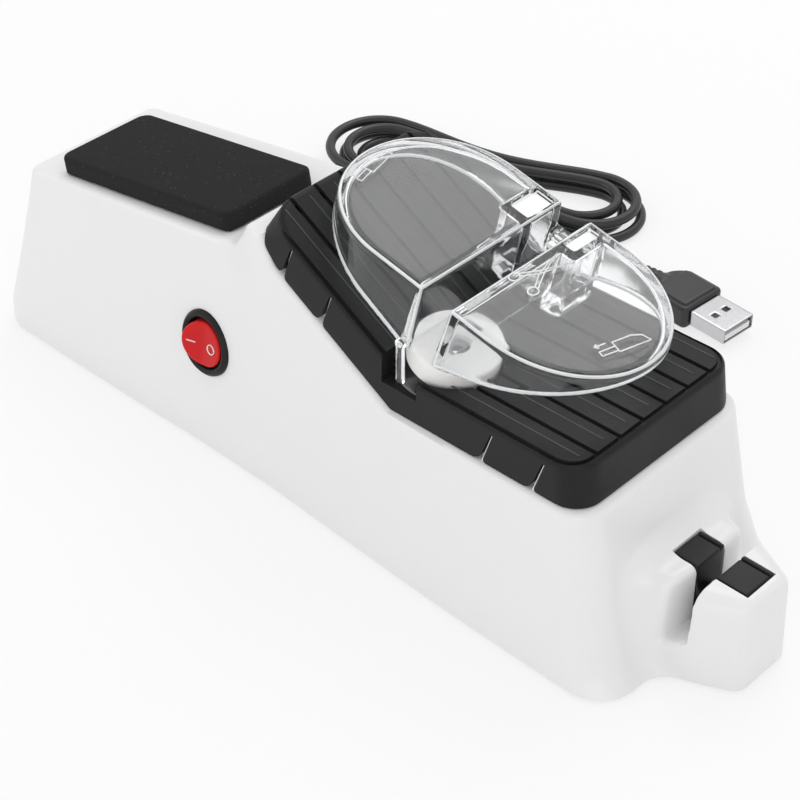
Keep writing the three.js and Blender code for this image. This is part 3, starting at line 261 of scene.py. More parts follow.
def moulded(name, color, shade, rough, grain, depth, wave_share=0.5, **values):
    """Moulded plastic: colour drifting to a shade, roughness from low to high, fine bump."""
    finish, tree, shader = new_finish(name, color, rough[0], **values)
    skin = tree.nodes.new("ShaderNodeGroup")
    skin.node_tree = moulded_skin
    set_inputs(skin, {"Grain Size": grain, "Wave Share": wave_share})
    tone = two_tone(tree, skin.outputs["Smear"], color, shade)
    tree.links.new(tone, shader.inputs["Base Color"])
    tree.links.new(ranged(tree, skin.outputs["Smear"], *rough), shader.inputs["Roughness"])
    add_bump(tree, shader, skin.outputs["Height"], depth)
    return finish


def gritty(name, color, glint_color, rough, grain, depth, glint_share, **values):
    """Bonded grit: matt, with single grains that catch the light."""
    finish, tree, shader = new_finish(name, color, rough, **values)
    grit = tree.nodes.new("ShaderNodeGroup")
    grit.node_tree = pressed_grit
    set_inputs(grit, {"Grain Size": grain, "Glint Share": glint_share})
    tone = two_tone(tree, grit.outputs["Glint"], color, glint_color)
    tree.links.new(tone, shader.inputs["Base Color"])
    add_bump(tree, shader, grit.outputs["Height"], depth)
    return finish


# %% [markdown]
# The colours follow the product: a neutral white gloss, a satin black cover, a pad that is
# almost without shine, a clear guard whose bright edges are painted highlight lines, and one red
# rocker. Two neighbouring blacks differ mostly in roughness, so that is where their numbers differ.

# %% Finishes
WHITE = (0.80, 0.80, 0.805)
WHITE_SHADE = (0.794, 0.794, 0.8)
white_gloss = moulded("white_gloss", WHITE, WHITE_SHADE, (0.28, 0.33), 0.0006, 0.00001, 0.8)
plate_white = moulded("plate_white", (0.8, 0.8, 0.8), (0.78, 0.78, 0.785), (0.45, 0.55), 0.0005, 0.00002)
DULL = {"Specular IOR Level": 0.18}
black_satin = moulded(
    "black_satin", (0.012, 0.012, 0.0125), (0.016, 0.016, 0.0165), (0.4, 0.52), 0.0005, 0.00004, **DULL
)
# A lighter black than the cover's: a painted highlight for the ridges on the planks.
ridge_highlight_black = moulded(
    "ridge_highlight_black", (0.045, 0.045, 0.046), (0.035, 0.035, 0.035), (0.4, 0.5), 0.0005, 0.00002
)
insert_black = moulded(
    "insert_black", (0.015, 0.015, 0.016), (0.02, 0.02, 0.021), (0.34, 0.46), 0.0005, 0.00002, **DULL
)
rocker_red = moulded(
    "rocker_red", (0.62, 0.012, 0.014), (0.56, 0.012, 0.014), (0.3, 0.4), 0.0006, 0.00001, **DULL
)
hub_grey = moulded("hub_grey", (0.27, 0.27, 0.28), (0.22, 0.22, 0.23), (0.5, 0.62), 0.0004, 0.00004)
rubber = moulded("rubber", (0.022, 0.022, 0.022), (0.03, 0.03, 0.03), (0.7, 0.85), 0.0005, 0.00006)
cord_black = moulded(
    "cord_black", (0.016, 0.016, 0.017), (0.02, 0.02, 0.02), (0.3, 0.42), 0.0007, 0.00002
)
hone_black = gritty(
    "hone_black", (0.016, 0.016, 0.0165), (0.05, 0.05, 0.05), 0.85, 0.00035, 0.00009, 0.008, **DULL
)
wheel_white = gritty("wheel_white", (0.83, 0.825, 0.81), (0.88, 0.88, 0.87), 0.8, 0.0003, 0.00004, 0.05)
print("finishes so far", len(bpy.data.materials))


# %% Metals and wires
def metal(name, color, rough, grain, depth):
    """A moulded finish that is metallic, with a tenth between its two colours."""
    return moulded(name, color, tuple(0.9 * c for c in color), rough, grain, depth, Metallic=1.0)


steel = metal("steel", (0.62, 0.62, 0.64), (0.22, 0.32), 0.0003, 0.00001)
brass = metal("brass", (0.7, 0.5, 0.2), (0.25, 0.4), 0.0003, 0.00001)
copper = metal("copper", (0.6, 0.25, 0.12), (0.35, 0.5), 0.0003, 0.00003)
magnet_grey = moulded(
    "magnet_grey", (0.05, 0.05, 0.055), (0.07, 0.07, 0.07), (0.6, 0.7), 0.0003, 0.00004
)
wire_red = moulded("wire_red", (0.4, 0.02, 0.02), (0.36, 0.02, 0.02), (0.4, 0.5), 0.0004, 0.00002)
wire_black = moulded("wire_black", (0.02, 0.02, 0.02), (0.03, 0.03, 0.03), (0.4, 0.5), 0.0004, 0.00002)
# A plain white for the printed marks, also used as a painted highlight in the slits.
mark_and_highlight_white = moulded("mark_and_highlight_white", (0.85, 0.85, 0.85), (0.8, 0.8, 0.8), (0.4, 0.5), 0.0004, 0.00001)
# A bright white for painted highlights: the guard's edge lines and the glowing sheets in its post
# pockets.
painted_highlight_white = moulded("painted_highlight_white", (0.9, 0.91, 0.92), (0.82, 0.83, 0.84), (0.15, 0.3), 0.0005, 0.00001)
print("finishes so far", len(bpy.data.materials))


# %% [markdown]
# The guard is clear plastic. Glass that refracts casts a dark shadow, because a lamp's light
# can't be followed back through it, while real clear plastic lets nearly all light through. So
# the finish refracts for the eye, and is plainly transparent for shadow rays.

# %% Clear plastic
SHADOW_TINT = (0.9, 0.91, 0.92)


def make_clear(name, color, roughness):
    """Clear moulding: refracts for the eye, and lets the lamps' light through unbent."""
    finish, tree, shader = new_finish(name, color, roughness, IOR=1.38)
    shader.inputs["Transmission Weight"].default_value = 1.0
    through = tree.nodes.new("ShaderNodeBsdfTransparent")
    through.inputs["Color"].default_value = (*SHADOW_TINT, 1)
    surface = tree.nodes["Material Output"].inputs["Surface"]
    mixed(tree, seen_by(tree, "Is Shadow Ray"), shader.outputs["BSDF"], through.outputs["BSDF"], surface)
    return finish


clear_plastic = make_clear("clear_plastic", (0.97, 0.975, 0.98), 0.07)

FINISH_OF_SLOT = {
    "white_gloss": white_gloss, "black_satin": black_satin, "hone_black": hone_black,
    "insert_black": insert_black, "clear": clear_plastic, "rocker_red": rocker_red,
    "wheel_white": wheel_white, "hub_grey": hub_grey, "steel": steel, "brass": brass,
    "copper": copper, "magnet_grey": magnet_grey, "rubber": rubber, "cord_black": cord_black,
    "wire_red": wire_red, "wire_black": wire_black, "plate_white": plate_white,
}
print("finishes", len(bpy.data.materials))


# %% [markdown]
# The frame's own nodes carry the name of a slot. Each gets the finish of that slot, so that
# hidden pieces, such as the motor and its screws, are dressed without work of their own.

# %% Dress the frame's own nodes
def dress(piece, finish):
    """Gives a piece one finish."""
    piece.data.materials.clear()
    piece.data.materials.append(finish)


slot_of_node = {part["node"]: part["material_slot"] for part in frame["record"]["subparts"]}
for node, piece in frame["nodes"].items():
    for place in range(len(piece.material_slots)):
        piece.material_slots[place].material = FINISH_OF_SLOT[slot_of_node[node]]
print("nodes dressed", len(frame["nodes"]))


# %% [markdown]
# The cord is one flexible length: it leaves the grommet on the far side, is wound into a flat
# hank of four turns, two on the floor and two on top of them, and runs on to its plug. The
# route's free points are the ones that the frame's own solids follow, and the turns come from
# a formula. A curve with a round bevel along the smooth path gives the round section that the eye
# expects.

# %% Smooth path through points
def catmull_rom(points, count):
    """Evenly spaced points on a centripetal curve through the given ones."""
    points = [np.asarray(p, float) for p in points]
    padded_points = [2 * points[0] - points[1], *points, 2 * points[-1] - points[-2]]
    fine = []
    per_span = 40
    for a, b, c, d in zip(padded_points, padded_points[1:], padded_points[2:], padded_points[3:]):
        t0 = max(np.linalg.norm(b - a), 1e-6) ** 0.5
        t1 = max(np.linalg.norm(c - b), 1e-6) ** 0.5
        t2 = max(np.linalg.norm(d - c), 1e-6) ** 0.5
        m1 = t1 * ((b - a) / t0 - (c - a) / (t0 + t1) + (c - b) / t1)
        m2 = t1 * ((c - b) / t1 - (d - b) / (t1 + t2) + (d - c) / t2)
        for t in np.linspace(0, 1, per_span, endpoint=False):
            at_b, at_c = 2 * t**3 - 3 * t**2 + 1, 3 * t**2 - 2 * t**3
            out_b, into_c = t**3 - 2 * t**2 + t, t**3 - t**2
            fine.append(at_b * b + out_b * m1 + at_c * c + into_c * m2)
    fine.append(points[-1])
    fine = np.array(fine)
    along = np.concatenate([[0], np.cumsum(np.linalg.norm(np.diff(fine, axis=0), axis=1))])
    spots = np.linspace(0, along[-1], count + 1)
    return np.stack([np.interp(spots, along, fine[:, axis]) for axis in range(3)], axis=1)


# %% Route of the cord
CORD_RADIUS = 1.5
CORD_FLOOR = 1.55
GAP = 0.3
OUTLET = (20.0, 32.6, 9.0)
GROMMET_LONG = 14.0
HANK_AT = (47.0, 106.0)
HANK_YAW = math.radians(17)
HANK_LONG, HANK_WIDE = 50.5, 15.4
HANK_PITCH_LONG, HANK_PITCH_WIDE = 5.6, 3.7
HANK_TURNS = 2
HANK_RISE, HANK_WAIST = 3.6, 4.5
STRAIGHT_SHARE = 0.25
PLUG_AT = (134.6, 97.2, 4.0)
PLUG_YAW = math.radians(-4)
OVERMOULD_LONG, RELIEF_LONG = 17.0, 8.0


def hank_spot(along, across, z):
    """A point given in the hank's own directions."""
    return np.array([
        HANK_AT[0] + along * math.cos(HANK_YAW) - across * math.sin(HANK_YAW),
        HANK_AT[1] + along * math.sin(HANK_YAW) + across * math.cos(HANK_YAW),
        z,
    ])


def hank_at(turn):
    """A point of the hank after so many turns: two spiral in, two spiral out on top."""
    used = turn if turn < HANK_TURNS else 2 * HANK_TURNS - turn
    wide = HANK_WIDE - HANK_PITCH_WIDE * used
    straight = HANK_LONG - HANK_PITCH_LONG * used - wide
    step = min(max((turn - HANK_TURNS + 0.25) / 0.5, 0), 1)
    z = CORD_FLOOR + HANK_RISE * step * step * (3 - 2 * step)
    place = (turn % 1) * 2
    side = 1 if place < 1 else -1
    local = place % 1
    if local < STRAIGHT_SHARE:
        run = 2 * local / STRAIGHT_SHARE - 1
        waist = HANK_WAIST * (1 - run * run) ** 2
        return hank_spot(side * straight * run, -side * (wide - waist), z)
    angle = math.pi * (local - STRAIGHT_SHARE) / (1 - STRAIGHT_SHARE) - math.pi / 2
    return hank_spot(side * (straight + wide * math.cos(angle)), side * wide * math.sin(angle), z)


hank_points = np.array([hank_at(t) for t in np.linspace(0, 2 * HANK_TURNS - 1e-4, 480)])
hank_heading = hank_spot(1, 0, 0) - hank_spot(0, 0, 0)
cord_exit = np.array([OUTLET[0], OUTLET[1] + GROMMET_LONG + GAP, OUTLET[2]])
RUN = 2 * CORD_RADIUS
lead_in = hank_points[0] - GAP * hank_heading
lead_points = [
    cord_exit,
    cord_exit + (0, RUN, 0),
    (15.0, 60.0, 3.2),
    (8.0, 68.5, CORD_FLOOR),
    (8.6, 76.0, CORD_FLOOR),
    lead_in - RUN * hank_heading,
    lead_in,
]
plug_heading = np.array([math.cos(PLUG_YAW), math.sin(PLUG_YAW), 0.0])
plug_back = np.array(PLUG_AT) - (OVERMOULD_LONG + RELIEF_LONG + GAP) * plug_heading
tail_out = hank_points[-1] + GAP * hank_heading
tail_points = [
    tail_out,
    tail_out + RUN * hank_heading,
    hank_spot(-12.0, -19.6, 2.4),
    hank_spot(0, -19.9, CORD_FLOOR),
    hank_spot(36.0, -20.2, CORD_FLOOR),
    plug_back - RUN * plug_heading,
    plug_back,
]
lead, tail = catmull_rom(lead_points, 90), catmull_rom(tail_points, 130)
cord_route = np.concatenate([lead, hank_points[2:-2], tail])
cord_route[:, 2] = np.maximum(cord_route[:, 2], CORD_FLOOR)


# %% Cord as one open curve
def tube_along(name, route, radius, sides=4):
    """A curve of one open spline with a round section, in the frame's metres."""
    data = bpy.data.curves.new(name, "CURVE")
    data.dimensions = "3D"
    data.bevel_depth = radius
    data.bevel_resolution = sides
    data.use_fill_caps = True
    spline = data.splines.new("POLY")
    spline.points.add(len(route) - 1)
    for point, place in zip(spline.points, metres(route)):
        point.co = (*place, 1)
    spline.use_smooth = True
    return add_object(name, data)


cord = tube_along("cord", cord_route, CORD_RADIUS * MM)
dress(cord, cord_black)
print("cord spline points", len(cord.data.splines[0].points))
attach(cord, "base")
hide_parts("supply_cord", "cord_hank", "plug_cord")


# %% [markdown]
# The white housing is one moulding: a low block, a riser, a hump that falls to a flat part, a
# flared skirt and a nose, all melting into each other. Boxes and bevels can't blend like that,
# so the surface is written as a field: a function that is negative inside, positive outside
# and about the distance in between. Rounded joins are then one short formula, and a net of
# quads is drawn where the field is zero.

# %% Tools for fields
def round_meet(first, second, radius):
    """Inside both fields, with the edge between them rounded."""
    reach = np.hypot(np.maximum(first + radius, 0), np.maximum(second + radius, 0))
    return np.minimum(-radius, np.maximum(first, second)) + reach


def round_join(first, second, radius):
    """Inside either field, with the corner between them filled."""
    reach = np.hypot(np.maximum(radius - first, 0), np.maximum(radius - second, 0))
    return np.maximum(radius, np.minimum(first, second)) - reach


def eased_slopes(spots, values):
    """Slopes for a smooth curve through values that never overshoots them."""
    spots, values = np.asarray(spots, float), np.asarray(values, float)
    step = np.diff(spots)
    rise = np.diff(values, axis=0) / step.reshape(-1, *[1] * (values.ndim - 1))
    slopes = np.zeros_like(values)
    slopes[0], slopes[-1] = rise[0], rise[-1]
    before, after = rise[:-1], rise[1:]
    same = before * after > 0
    total = before + after
    slopes[1:-1] = np.where(same, 2 * before * after / np.where(same, total, 1), 0)
    return slopes


def eased(spots, values, at):
    """Values at new places, on the smooth curve through the given rows."""
    spots, values = np.asarray(spots, float), np.asarray(values, float)
    slopes = eased_slopes(spots, values)
    cell = np.clip(np.searchsorted(spots, at) - 1, 0, len(spots) - 2)
    width = (spots[cell + 1] - spots[cell]).reshape(-1, *[1] * (values.ndim - 1))
    t = np.clip((at - spots[cell]), 0, spots[cell + 1] - spots[cell]).reshape(width.shape) / width
    first = (1 + 2 * t) * (1 - t) ** 2 * values[cell] + t * (1 - t) ** 2 * width * slopes[cell]
    second = t * t * (3 - 2 * t) * values[cell + 1] + t * t * (t - 1) * width * slopes[cell + 1]
    return first + second


# %% [markdown]
# The net is drawn cell by cell. A cell whose corners lie partly inside gets one point, at the
# mean of the places where the surface crosses its edges, and the four cells round each
# crossed edge are joined by a quad. The points are then evened out and put back on the
# surface, so that the net shades as smoothly as a moulding.

# %% Net of quads round a field
EDGES = [(a, b) for a in range(8) for b in range(a + 1, 8) if (a ^ b) in (1, 2, 4)]


def crossing_points(values, axes, cells):
    """The mean of the places where the field crosses zero on each cell's edges."""
    total = np.zeros((len(cells), 3))
    count = np.zeros(len(cells))
    for a, b in EDGES:
        first = cells + [a & 1, a >> 1 & 1, a >> 2]
        second = cells + [b & 1, b >> 1 & 1, b >> 2]
        low, high = values[tuple(first.T)], values[tuple(second.T)]
        hit = (low < 0) != (high < 0)
        share = np.where(hit, low / np.where(hit, low - high, 1), 0)[:, None]
        start = np.stack([axes[k][first[:, k]] for k in range(3)], axis=1)
        end = np.stack([axes[k][second[:, k]] for k in range(3)], axis=1)
        total += np.where(hit[:, None], start + share * (end - start), 0)
        count += hit
    return total / count[:, None]


def quads_between(inside, cell_number):
    """One quad across every grid edge that crosses the surface, facing outwards."""
    quads = []
    for axis in range(3):
        u, v = (axis + 1) % 3, (axis + 2) % 3
        ahead = np.moveaxis(inside, [axis, u, v], [0, 1, 2])
        numbers = np.moveaxis(cell_number, [axis, u, v], [0, 1, 2])
        spots = np.argwhere(ahead[:-1, 1:-1, 1:-1] != ahead[1:, 1:-1, 1:-1])
        i, j, k = spots[:, 0], spots[:, 1] + 1, spots[:, 2] + 1
        around = [numbers[i, j - 1, k - 1], numbers[i, j, k - 1], numbers[i, j, k], numbers[i, j - 1, k]]
        ring = np.stack(around, axis=1)
        outward = ahead[i, j, k]
        quads.append(np.where(outward[:, None], ring, ring[:, ::-1]))
    return np.concatenate(quads)


def onto(field, points, turns=3, reach=0.6):
    """Points moved along the field's slope until they lie on its surface."""
    nudge = 0.04
    for _ in range(turns):
        x, y, z = points.T
        here = field(x, y, z)
        slope = np.stack([
            field(x + nudge, y, z) - field(x - nudge, y, z),
            field(x, y + nudge, z) - field(x, y - nudge, z),
            field(x, y, z + nudge) - field(x, y, z - nudge),
        ], axis=1) / (2 * nudge)
        steep = np.maximum((slope**2).sum(axis=1), 0.1)
        move = (here / steep)[:, None] * slope
        long = np.linalg.norm(move, axis=1, keepdims=True)
        points = points - move * np.minimum(1, reach / np.maximum(long, 1e-9))
    return points


def evened(points, quads):
    """Each point moved half way to the mean of its neighbours."""
    total = np.zeros_like(points)
    count = np.zeros(len(points))
    for a, b in ((0, 1), (1, 2), (2, 3), (3, 0)):
        for start, end in ((quads[:, a], quads[:, b]), (quads[:, b], quads[:, a])):
            np.add.at(total, start, points[end])
            np.add.at(count, start, 1)
    return (points + total / count[:, None]) / 2


def net_of(field, axes, rounds=2):
    """Points and quads of the surface where the field is zero."""
    axes = [np.asarray(axis, float) for axis in axes]
    values = field(axes[0][:, None, None], axes[1][None, :, None], axes[2][None, None, :])
    values = np.broadcast_to(values, [len(axis) for axis in axes])
    inside = values < 0
    corners = [inside[a & 1:, a >> 1 & 1:, a >> 2:] for a in range(8)]
    shape = [len(axis) - 1 for axis in axes]
    corners = [c[: shape[0], : shape[1], : shape[2]] for c in corners]
    mixed = np.any(corners, axis=0) & ~np.all(corners, axis=0)
    cells = np.argwhere(mixed)
    cell_number = np.full(shape, -1)
    cell_number[tuple(cells.T)] = np.arange(len(cells))
    points = onto(field, crossing_points(values, axes, cells))
    quads = quads_between(inside, cell_number)
    for _ in range(rounds):
        points = onto(field, evened(points, quads), turns=2)
    return points, quads


def spaced(*stops):
    """One axis of a grid: pairs of place and the step used from there on."""
    marks = []
    for (start, step), (end, _) in zip(stops, stops[1:]):
        marks.append(np.linspace(start, end, max(round((end - start) / step), 1), endpoint=False))
    return np.concatenate([*marks, [stops[-1][0]]])


# %% [markdown]
# The net becomes a mesh object, smooth but for its sharp edges. Crisp cuts are Booleans with
# plain bars and turned shapes, and a turned shape is a profile spun about an axis.

# %% Tools for meshes
def mesh_piece(name, points, faces, finish, smooth_angle=40):
    """A mesh object from points in millimetres from the heel."""
    if isinstance(faces, np.ndarray):
        faces = faces.tolist()
    data = bpy.data.meshes.new(name)
    data.from_pydata(metres(points).tolist(), [], faces)
    return finished(name, data, finish, smooth_angle)


def smoothed(data, finish, smooth_angle):
    """Gives a mesh one finish, and smooth faces but for edges sharper than the angle."""
    data.materials.clear()
    data.materials.append(finish)
    data.polygons.foreach_set("material_index", np.zeros(len(data.polygons), dtype=np.int32))
    data.shade_smooth()
    data.set_sharp_from_angle(angle=math.radians(smooth_angle))


def finished(name, data, finish, smooth_angle=40):
    """An object for a mesh, with its finish."""
    smoothed(data, finish, smooth_angle)
    return add_object(name, data)


def weld(source, target, reach):
    """Copies a mesh, with points nearer than the reach joined and its faces turned outwards."""
    shape = bmesh.new()
    shape.from_mesh(source)
    bmesh.ops.remove_doubles(shape, verts=shape.verts, dist=reach)
    bmesh.ops.recalc_face_normals(shape, faces=shape.faces)
    shape.to_mesh(target)
    shape.free()


def moved(points, matrix):
    """Points taken out of a local frame."""
    turn = np.array(matrix)
    return points @ turn[:3, :3].T + turn[:3, 3]


def net_piece(name, field, axes, finish, matrix=None, rounds=2, smooth_angle=50):
    """A mesh object drawn round a field in a local frame, in millimetres."""
    points, quads = net_of(field, axes, rounds)
    if matrix is not None:
        points = moved(points, matrix)
    print(name, "faces", len(quads))
    return mesh_piece(name, points, quads, finish, smooth_angle)


def combined(piece, others, kind, smooth_angle=40):
    """The piece after one Boolean with each other object, as a plain mesh."""
    for other in others:
        step = piece.modifiers.new("cut", "BOOLEAN")
        step.operation = kind
        step.solver = "MANIFOLD"
        step.object = other
    shown = piece.evaluated_get(bpy.context.evaluated_depsgraph_get())
    data = bpy.data.meshes.new_from_object(shown)
    piece.modifiers.clear()
    old, piece.data = piece.data, data
    smoothed(data, old.materials[0], smooth_angle)
    data.name = piece.name
    for other in others:
        bpy.data.objects.remove(other)
    bpy.data.meshes.remove(old)
    return piece


def bar(name, outline, low, high, axis=1):
    """A straight prism: an outline of number pairs carried along one axis."""
    outline = list(outline)
    area = sum(a[0] * b[1] - b[0] * a[1] for a, b in zip(outline, outline[1:] + outline[:1]))
    if (area > 0) == (axis == 1):
        outline.reverse()
    count = len(outline)
    ends = [np.insert(np.asarray(outline, float), axis, place, axis=1) for place in (low, high)]
    sides = [(i, (i + 1) % count, (i + 1) % count + count, i + count) for i in range(count)]
    caps = [tuple(range(count))[::-1], tuple(range(count, 2 * count))]
    return mesh_piece(name, np.concatenate(ends), [*sides, *caps], white_gloss)


def box_bar(name, x, y, z):
    """A plain box cutter from three pairs of limits."""
    return bar(name, [(x[0], z[0]), (x[1], z[0]), (x[1], z[1]), (x[0], z[1])], *y)


def lathed(name, profile, finish, steps=64, matrix=None, smooth_angle=40):
    """A turned piece: a closed profile of radius and height, spun about its own Z."""
    angles = np.linspace(0, 2 * math.pi, steps, endpoint=False)
    rings = [[(r * math.cos(a), r * math.sin(a), z) for a in angles] for r, z in profile]
    points = np.array(rings).reshape(-1, 3)
    if matrix is not None:
        points = moved(points, matrix)
    rows = len(profile)
    faces = []
    for row in range(rows):
        after = (row + 1) % rows
        for side in range(steps):
            beside = (side + 1) % steps
            near, far = row * steps, after * steps
            faces.append((near + side, near + beside, far + beside, far + side))
    made = mesh_piece(name, points, faces, finish, smooth_angle)
    weld(made.data, made.data, 1e-7)
    made.data.set_sharp_from_angle(angle=math.radians(smooth_angle))
    return made


# %% [markdown]
# The housing's skirt, walls and ends lean and curve, so its half width is a small table over
# height and length. Smooth curves run through the table's rows, and a finer table is read
# from them once, because the field asks for the width a million times.

# %% Sizes of the housing
BODY_HALF = 34.7
LEVELS = 82 * np.array([0, 0.061, 0.1585, 0.2073, 0.3659, 0.561, 0.7317, 1])
STATIONS = 225 * np.array([0.0222, 0.2222, 0.3289, 0.4267, 0.5556, 0.7333, 0.8667])
HALF_WIDTHS = BODY_HALF * np.array([
    [0.951, 0.939, 0.922, 0.922, 0.957, 0.994, 1],
    [0.948, 0.937, 0.919, 0.919, 0.945, 0.98, 0.977],
    [0.902, 0.892, 0.882, 0.885, 0.912, 0.944, 0.94],
    [0.862, 0.86, 0.858, 0.876, 0.904, 0.922, 0.916],
    [0.738, 0.772, 0.807, 0.847, 0.876, 0.882, 0.876],
    [0.622, 0.674, 0.732, 0.833, 0.847, 0.847, 0.844],
    [0.599, 0.625, 0.631, 0.827, 0.833, 0.836, 0.836],
    [0.576, 0.599, 0.611, 0.821, 0.827, 0.827, 0.827],
])
HEEL_X = -6.9 + 9.9 * np.array([0, 0.02, 0.16, 0.25, 0.42, 0.6, 0.74, 0.95])
HEEL_ROUND = 12 * np.array([0.9, 0.85, 0.76, 0.65, 0.42, 0.24, 0.2, 0.18])
END_X = 208.2 - 19.2 * np.array([0, 0.21, 0.36, 0.43, 0.58, 0.76, 0.87, 1])
END_ROUND = 13 * np.array([0.82, 0.8, 0.78, 0.75, 0.65, 0.54, 0.5, 0.46])
BLOCK_TILT = math.radians(9.75)
BLOCK_START, BLOCK_HIGH = 0.4, 45.5
BOTTOM_Z, UNDER_Z, INSIDE_Z = 0.85, -2.2, -3
WALL = 2.4


def block_line(x):
    """The height of the low block's sloping top."""
    return BLOCK_HIGH + math.tan(BLOCK_TILT) * (x - BLOCK_START)


TOP_CORNERS = [
    ((-14, block_line(-14)), 0),
    ((77.5, block_line(77.5)), 2.5),
    ((81, 60.7), 2),
    ((89.5, 72), 2.5),
    ((95.5, 72), 0.3),
    ((99.5, 65.3), 0.3),
    ((136.5, 43.7), 0.3),
    ((232, 45.84), 0),
]


def eased_corner(before, spot, after, reach, steps):
    """Points that round off a corner, from reach before it to reach behind it."""
    back = spot + reach * (before - spot) / np.linalg.norm(before - spot)
    ahead = spot + reach * (after - spot) / np.linalg.norm(after - spot)
    shares = np.linspace(0, 1, steps)
    return [(1 - t) ** 2 * back + 2 * t * (1 - t) * spot + t * t * ahead for t in shares]


def rounded_line(corners, steps=10):
    """A polyline whose corners are each eased over a given reach."""
    spots = [np.array(corner, float) for corner, _ in corners]
    line = [spots[0]]
    for i, (_, reach) in enumerate(corners[1:-1]):
        line += eased_corner(*spots[i:i + 3], reach, steps)
    return np.array([*line, spots[-1]])


# %% Tables of the housing
FINE_STEP = 0.5
FINE_Z = np.arange(-4, 90, FINE_STEP)
FINE_X = np.arange(-14, 232, FINE_STEP)
fine_half = eased(LEVELS, eased(STATIONS, HALF_WIDTHS.T, FINE_X).T, FINE_Z).T
fine_heel, fine_heel_round = eased(LEVELS, HEEL_X, FINE_Z), eased(LEVELS, HEEL_ROUND, FINE_Z)
fine_end, fine_end_round = eased(LEVELS, END_X, FINE_Z), eased(LEVELS, END_ROUND, FINE_Z)
top_line = rounded_line(TOP_CORNERS)
fine_top = np.interp(FINE_X, top_line[:, 0], top_line[:, 1])
fine_steep = np.hypot(1, np.gradient(fine_top, FINE_X))
fine_edge = np.interp(FINE_X, [60, 92], [1.9, 1.5])
print("table of half widths", fine_half.shape)


def half_at(x, z):
    """The housing's half width, read between the points of its fine table."""
    u = np.clip((x - FINE_X[0]) / FINE_STEP, 0, len(FINE_X) - 1.001)
    v = np.clip((z - FINE_Z[0]) / FINE_STEP, 0, len(FINE_Z) - 1.001)
    i, j = np.floor(u).astype(int), np.floor(v).astype(int)
    s, t = u - i, v - j
    low = fine_half[i, j] * (1 - s) + fine_half[i + 1, j] * s
    high = fine_half[i, j + 1] * (1 - s) + fine_half[i + 1, j + 1] * s
    return low * (1 - t) + high * t


def body_field(x, y, z):
    """The block, hump and skirt, without the nose."""
    side = np.abs(y) - half_at(x, z)
    heel = np.interp(z, FINE_Z, fine_heel) - x
    end = x - np.interp(z, FINE_Z, fine_end)
    plan = round_meet(side, heel, np.interp(z, FINE_Z, fine_heel_round))
    plan = round_meet(plan, end, np.interp(z, FINE_Z, fine_end_round))
    top = (z - np.interp(x, FINE_X, fine_top)) / np.interp(x, FINE_X, fine_steep)
    return round_meet(plan, top, np.interp(x, FINE_X, fine_edge))


# %% [markdown]
# The nose is a smaller block with leaning sides. It melts into the body over a wide blend, and
# the knife slot is taken out of it with softened edges, as a moulded slot has.

# %% Nose of the housing
NOSE_TIP, NOSE_TOP = 225, 25.4
SLOT_START, SLOT_END, SLOT_FLOOR = 207.9, 213.0, 9.6
NOSE_PLAN = rounded_line([((185, 19.5), 0), ((213, 14.4), 3), ((229, 6.8), 0)])
NOSE_BLEND = 6.0
NOSE_TOP_ROUND, NOSE_TIP_ROUND, NOSE_LEAN = 4.2, 2.2, 0.8
NOSE_BATTER, NOSE_BACK = 1.3, 188
SLOT_HALF, SLOT_FLARE, SLOT_RISE, SLOT_STEP = 5.6, 1.6, 0.35, 0.9
SLOT_SOFT_NEAR, SLOT_SOFT_FAR = 1.9, 0.2


def nose_field(x, y, z):
    """The nose block: tapered plan, battered sides, rounded top edge."""
    rise = np.clip(z / NOSE_TOP, 0, 1)
    side = np.abs(y) - np.interp(x, NOSE_PLAN[:, 0], NOSE_PLAN[:, 1]) + NOSE_BATTER * rise
    top = z - NOSE_TOP
    tip = x - NOSE_TIP + NOSE_LEAN * rise
    back = NOSE_BACK - x
    rounded = round_meet(round_meet(side, top, NOSE_TOP_ROUND), tip, NOSE_TIP_ROUND)
    return np.maximum(rounded, back)


def slot_field(x, y, z):
    """The knife slot across the nose; its heel side opens a little towards the sides."""
    flare = SLOT_FLARE * np.clip((np.abs(y) - SLOT_HALF) / 9, 0, 1)
    across = np.maximum(SLOT_START - flare - x, x - SLOT_END + SLOT_STEP)
    rise = SLOT_RISE * np.clip(x - SLOT_START, 0, 6) * np.clip((np.abs(y) - SLOT_HALF) / 3, 0, 1)
    return np.maximum(across, SLOT_FLOOR + rise - z)


def housing_field(x, y, z):
    """The whole outer surface, with the slot's edges softened."""
    body = round_join(body_field(x, y, z), nose_field(x, y, z), NOSE_BLEND)
    soft = np.interp(x, [SLOT_START, SLOT_END - 1], [SLOT_SOFT_NEAR, SLOT_SOFT_FAR])
    body = round_meet(body, -slot_field(x, y, z), soft)
    return np.maximum(body, UNDER_Z - z)


housing_axes = (
    spaced((-10, 1.25), (196, 0.8), (229, 1)),
    spaced((-38, 1.15), (-17, 0.9), (17, 1.15), (38, 1)),
    spaced((-3, 0.95), (28, 1.15), (75, 1)),
)
housing = net_piece("housing_moulding", housing_field, housing_axes, white_gloss)
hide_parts("upper_housing")
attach(housing, "base")


# %% [markdown]
# The moulding is hollow and carries other pieces, so it is cut as the real tool cores it out:
# the space inside, the raised seat under the black cover, the pockets for wheel, switch,
# insert, cord and the guard's tab. Booleans suit these, because their edges are crisp.

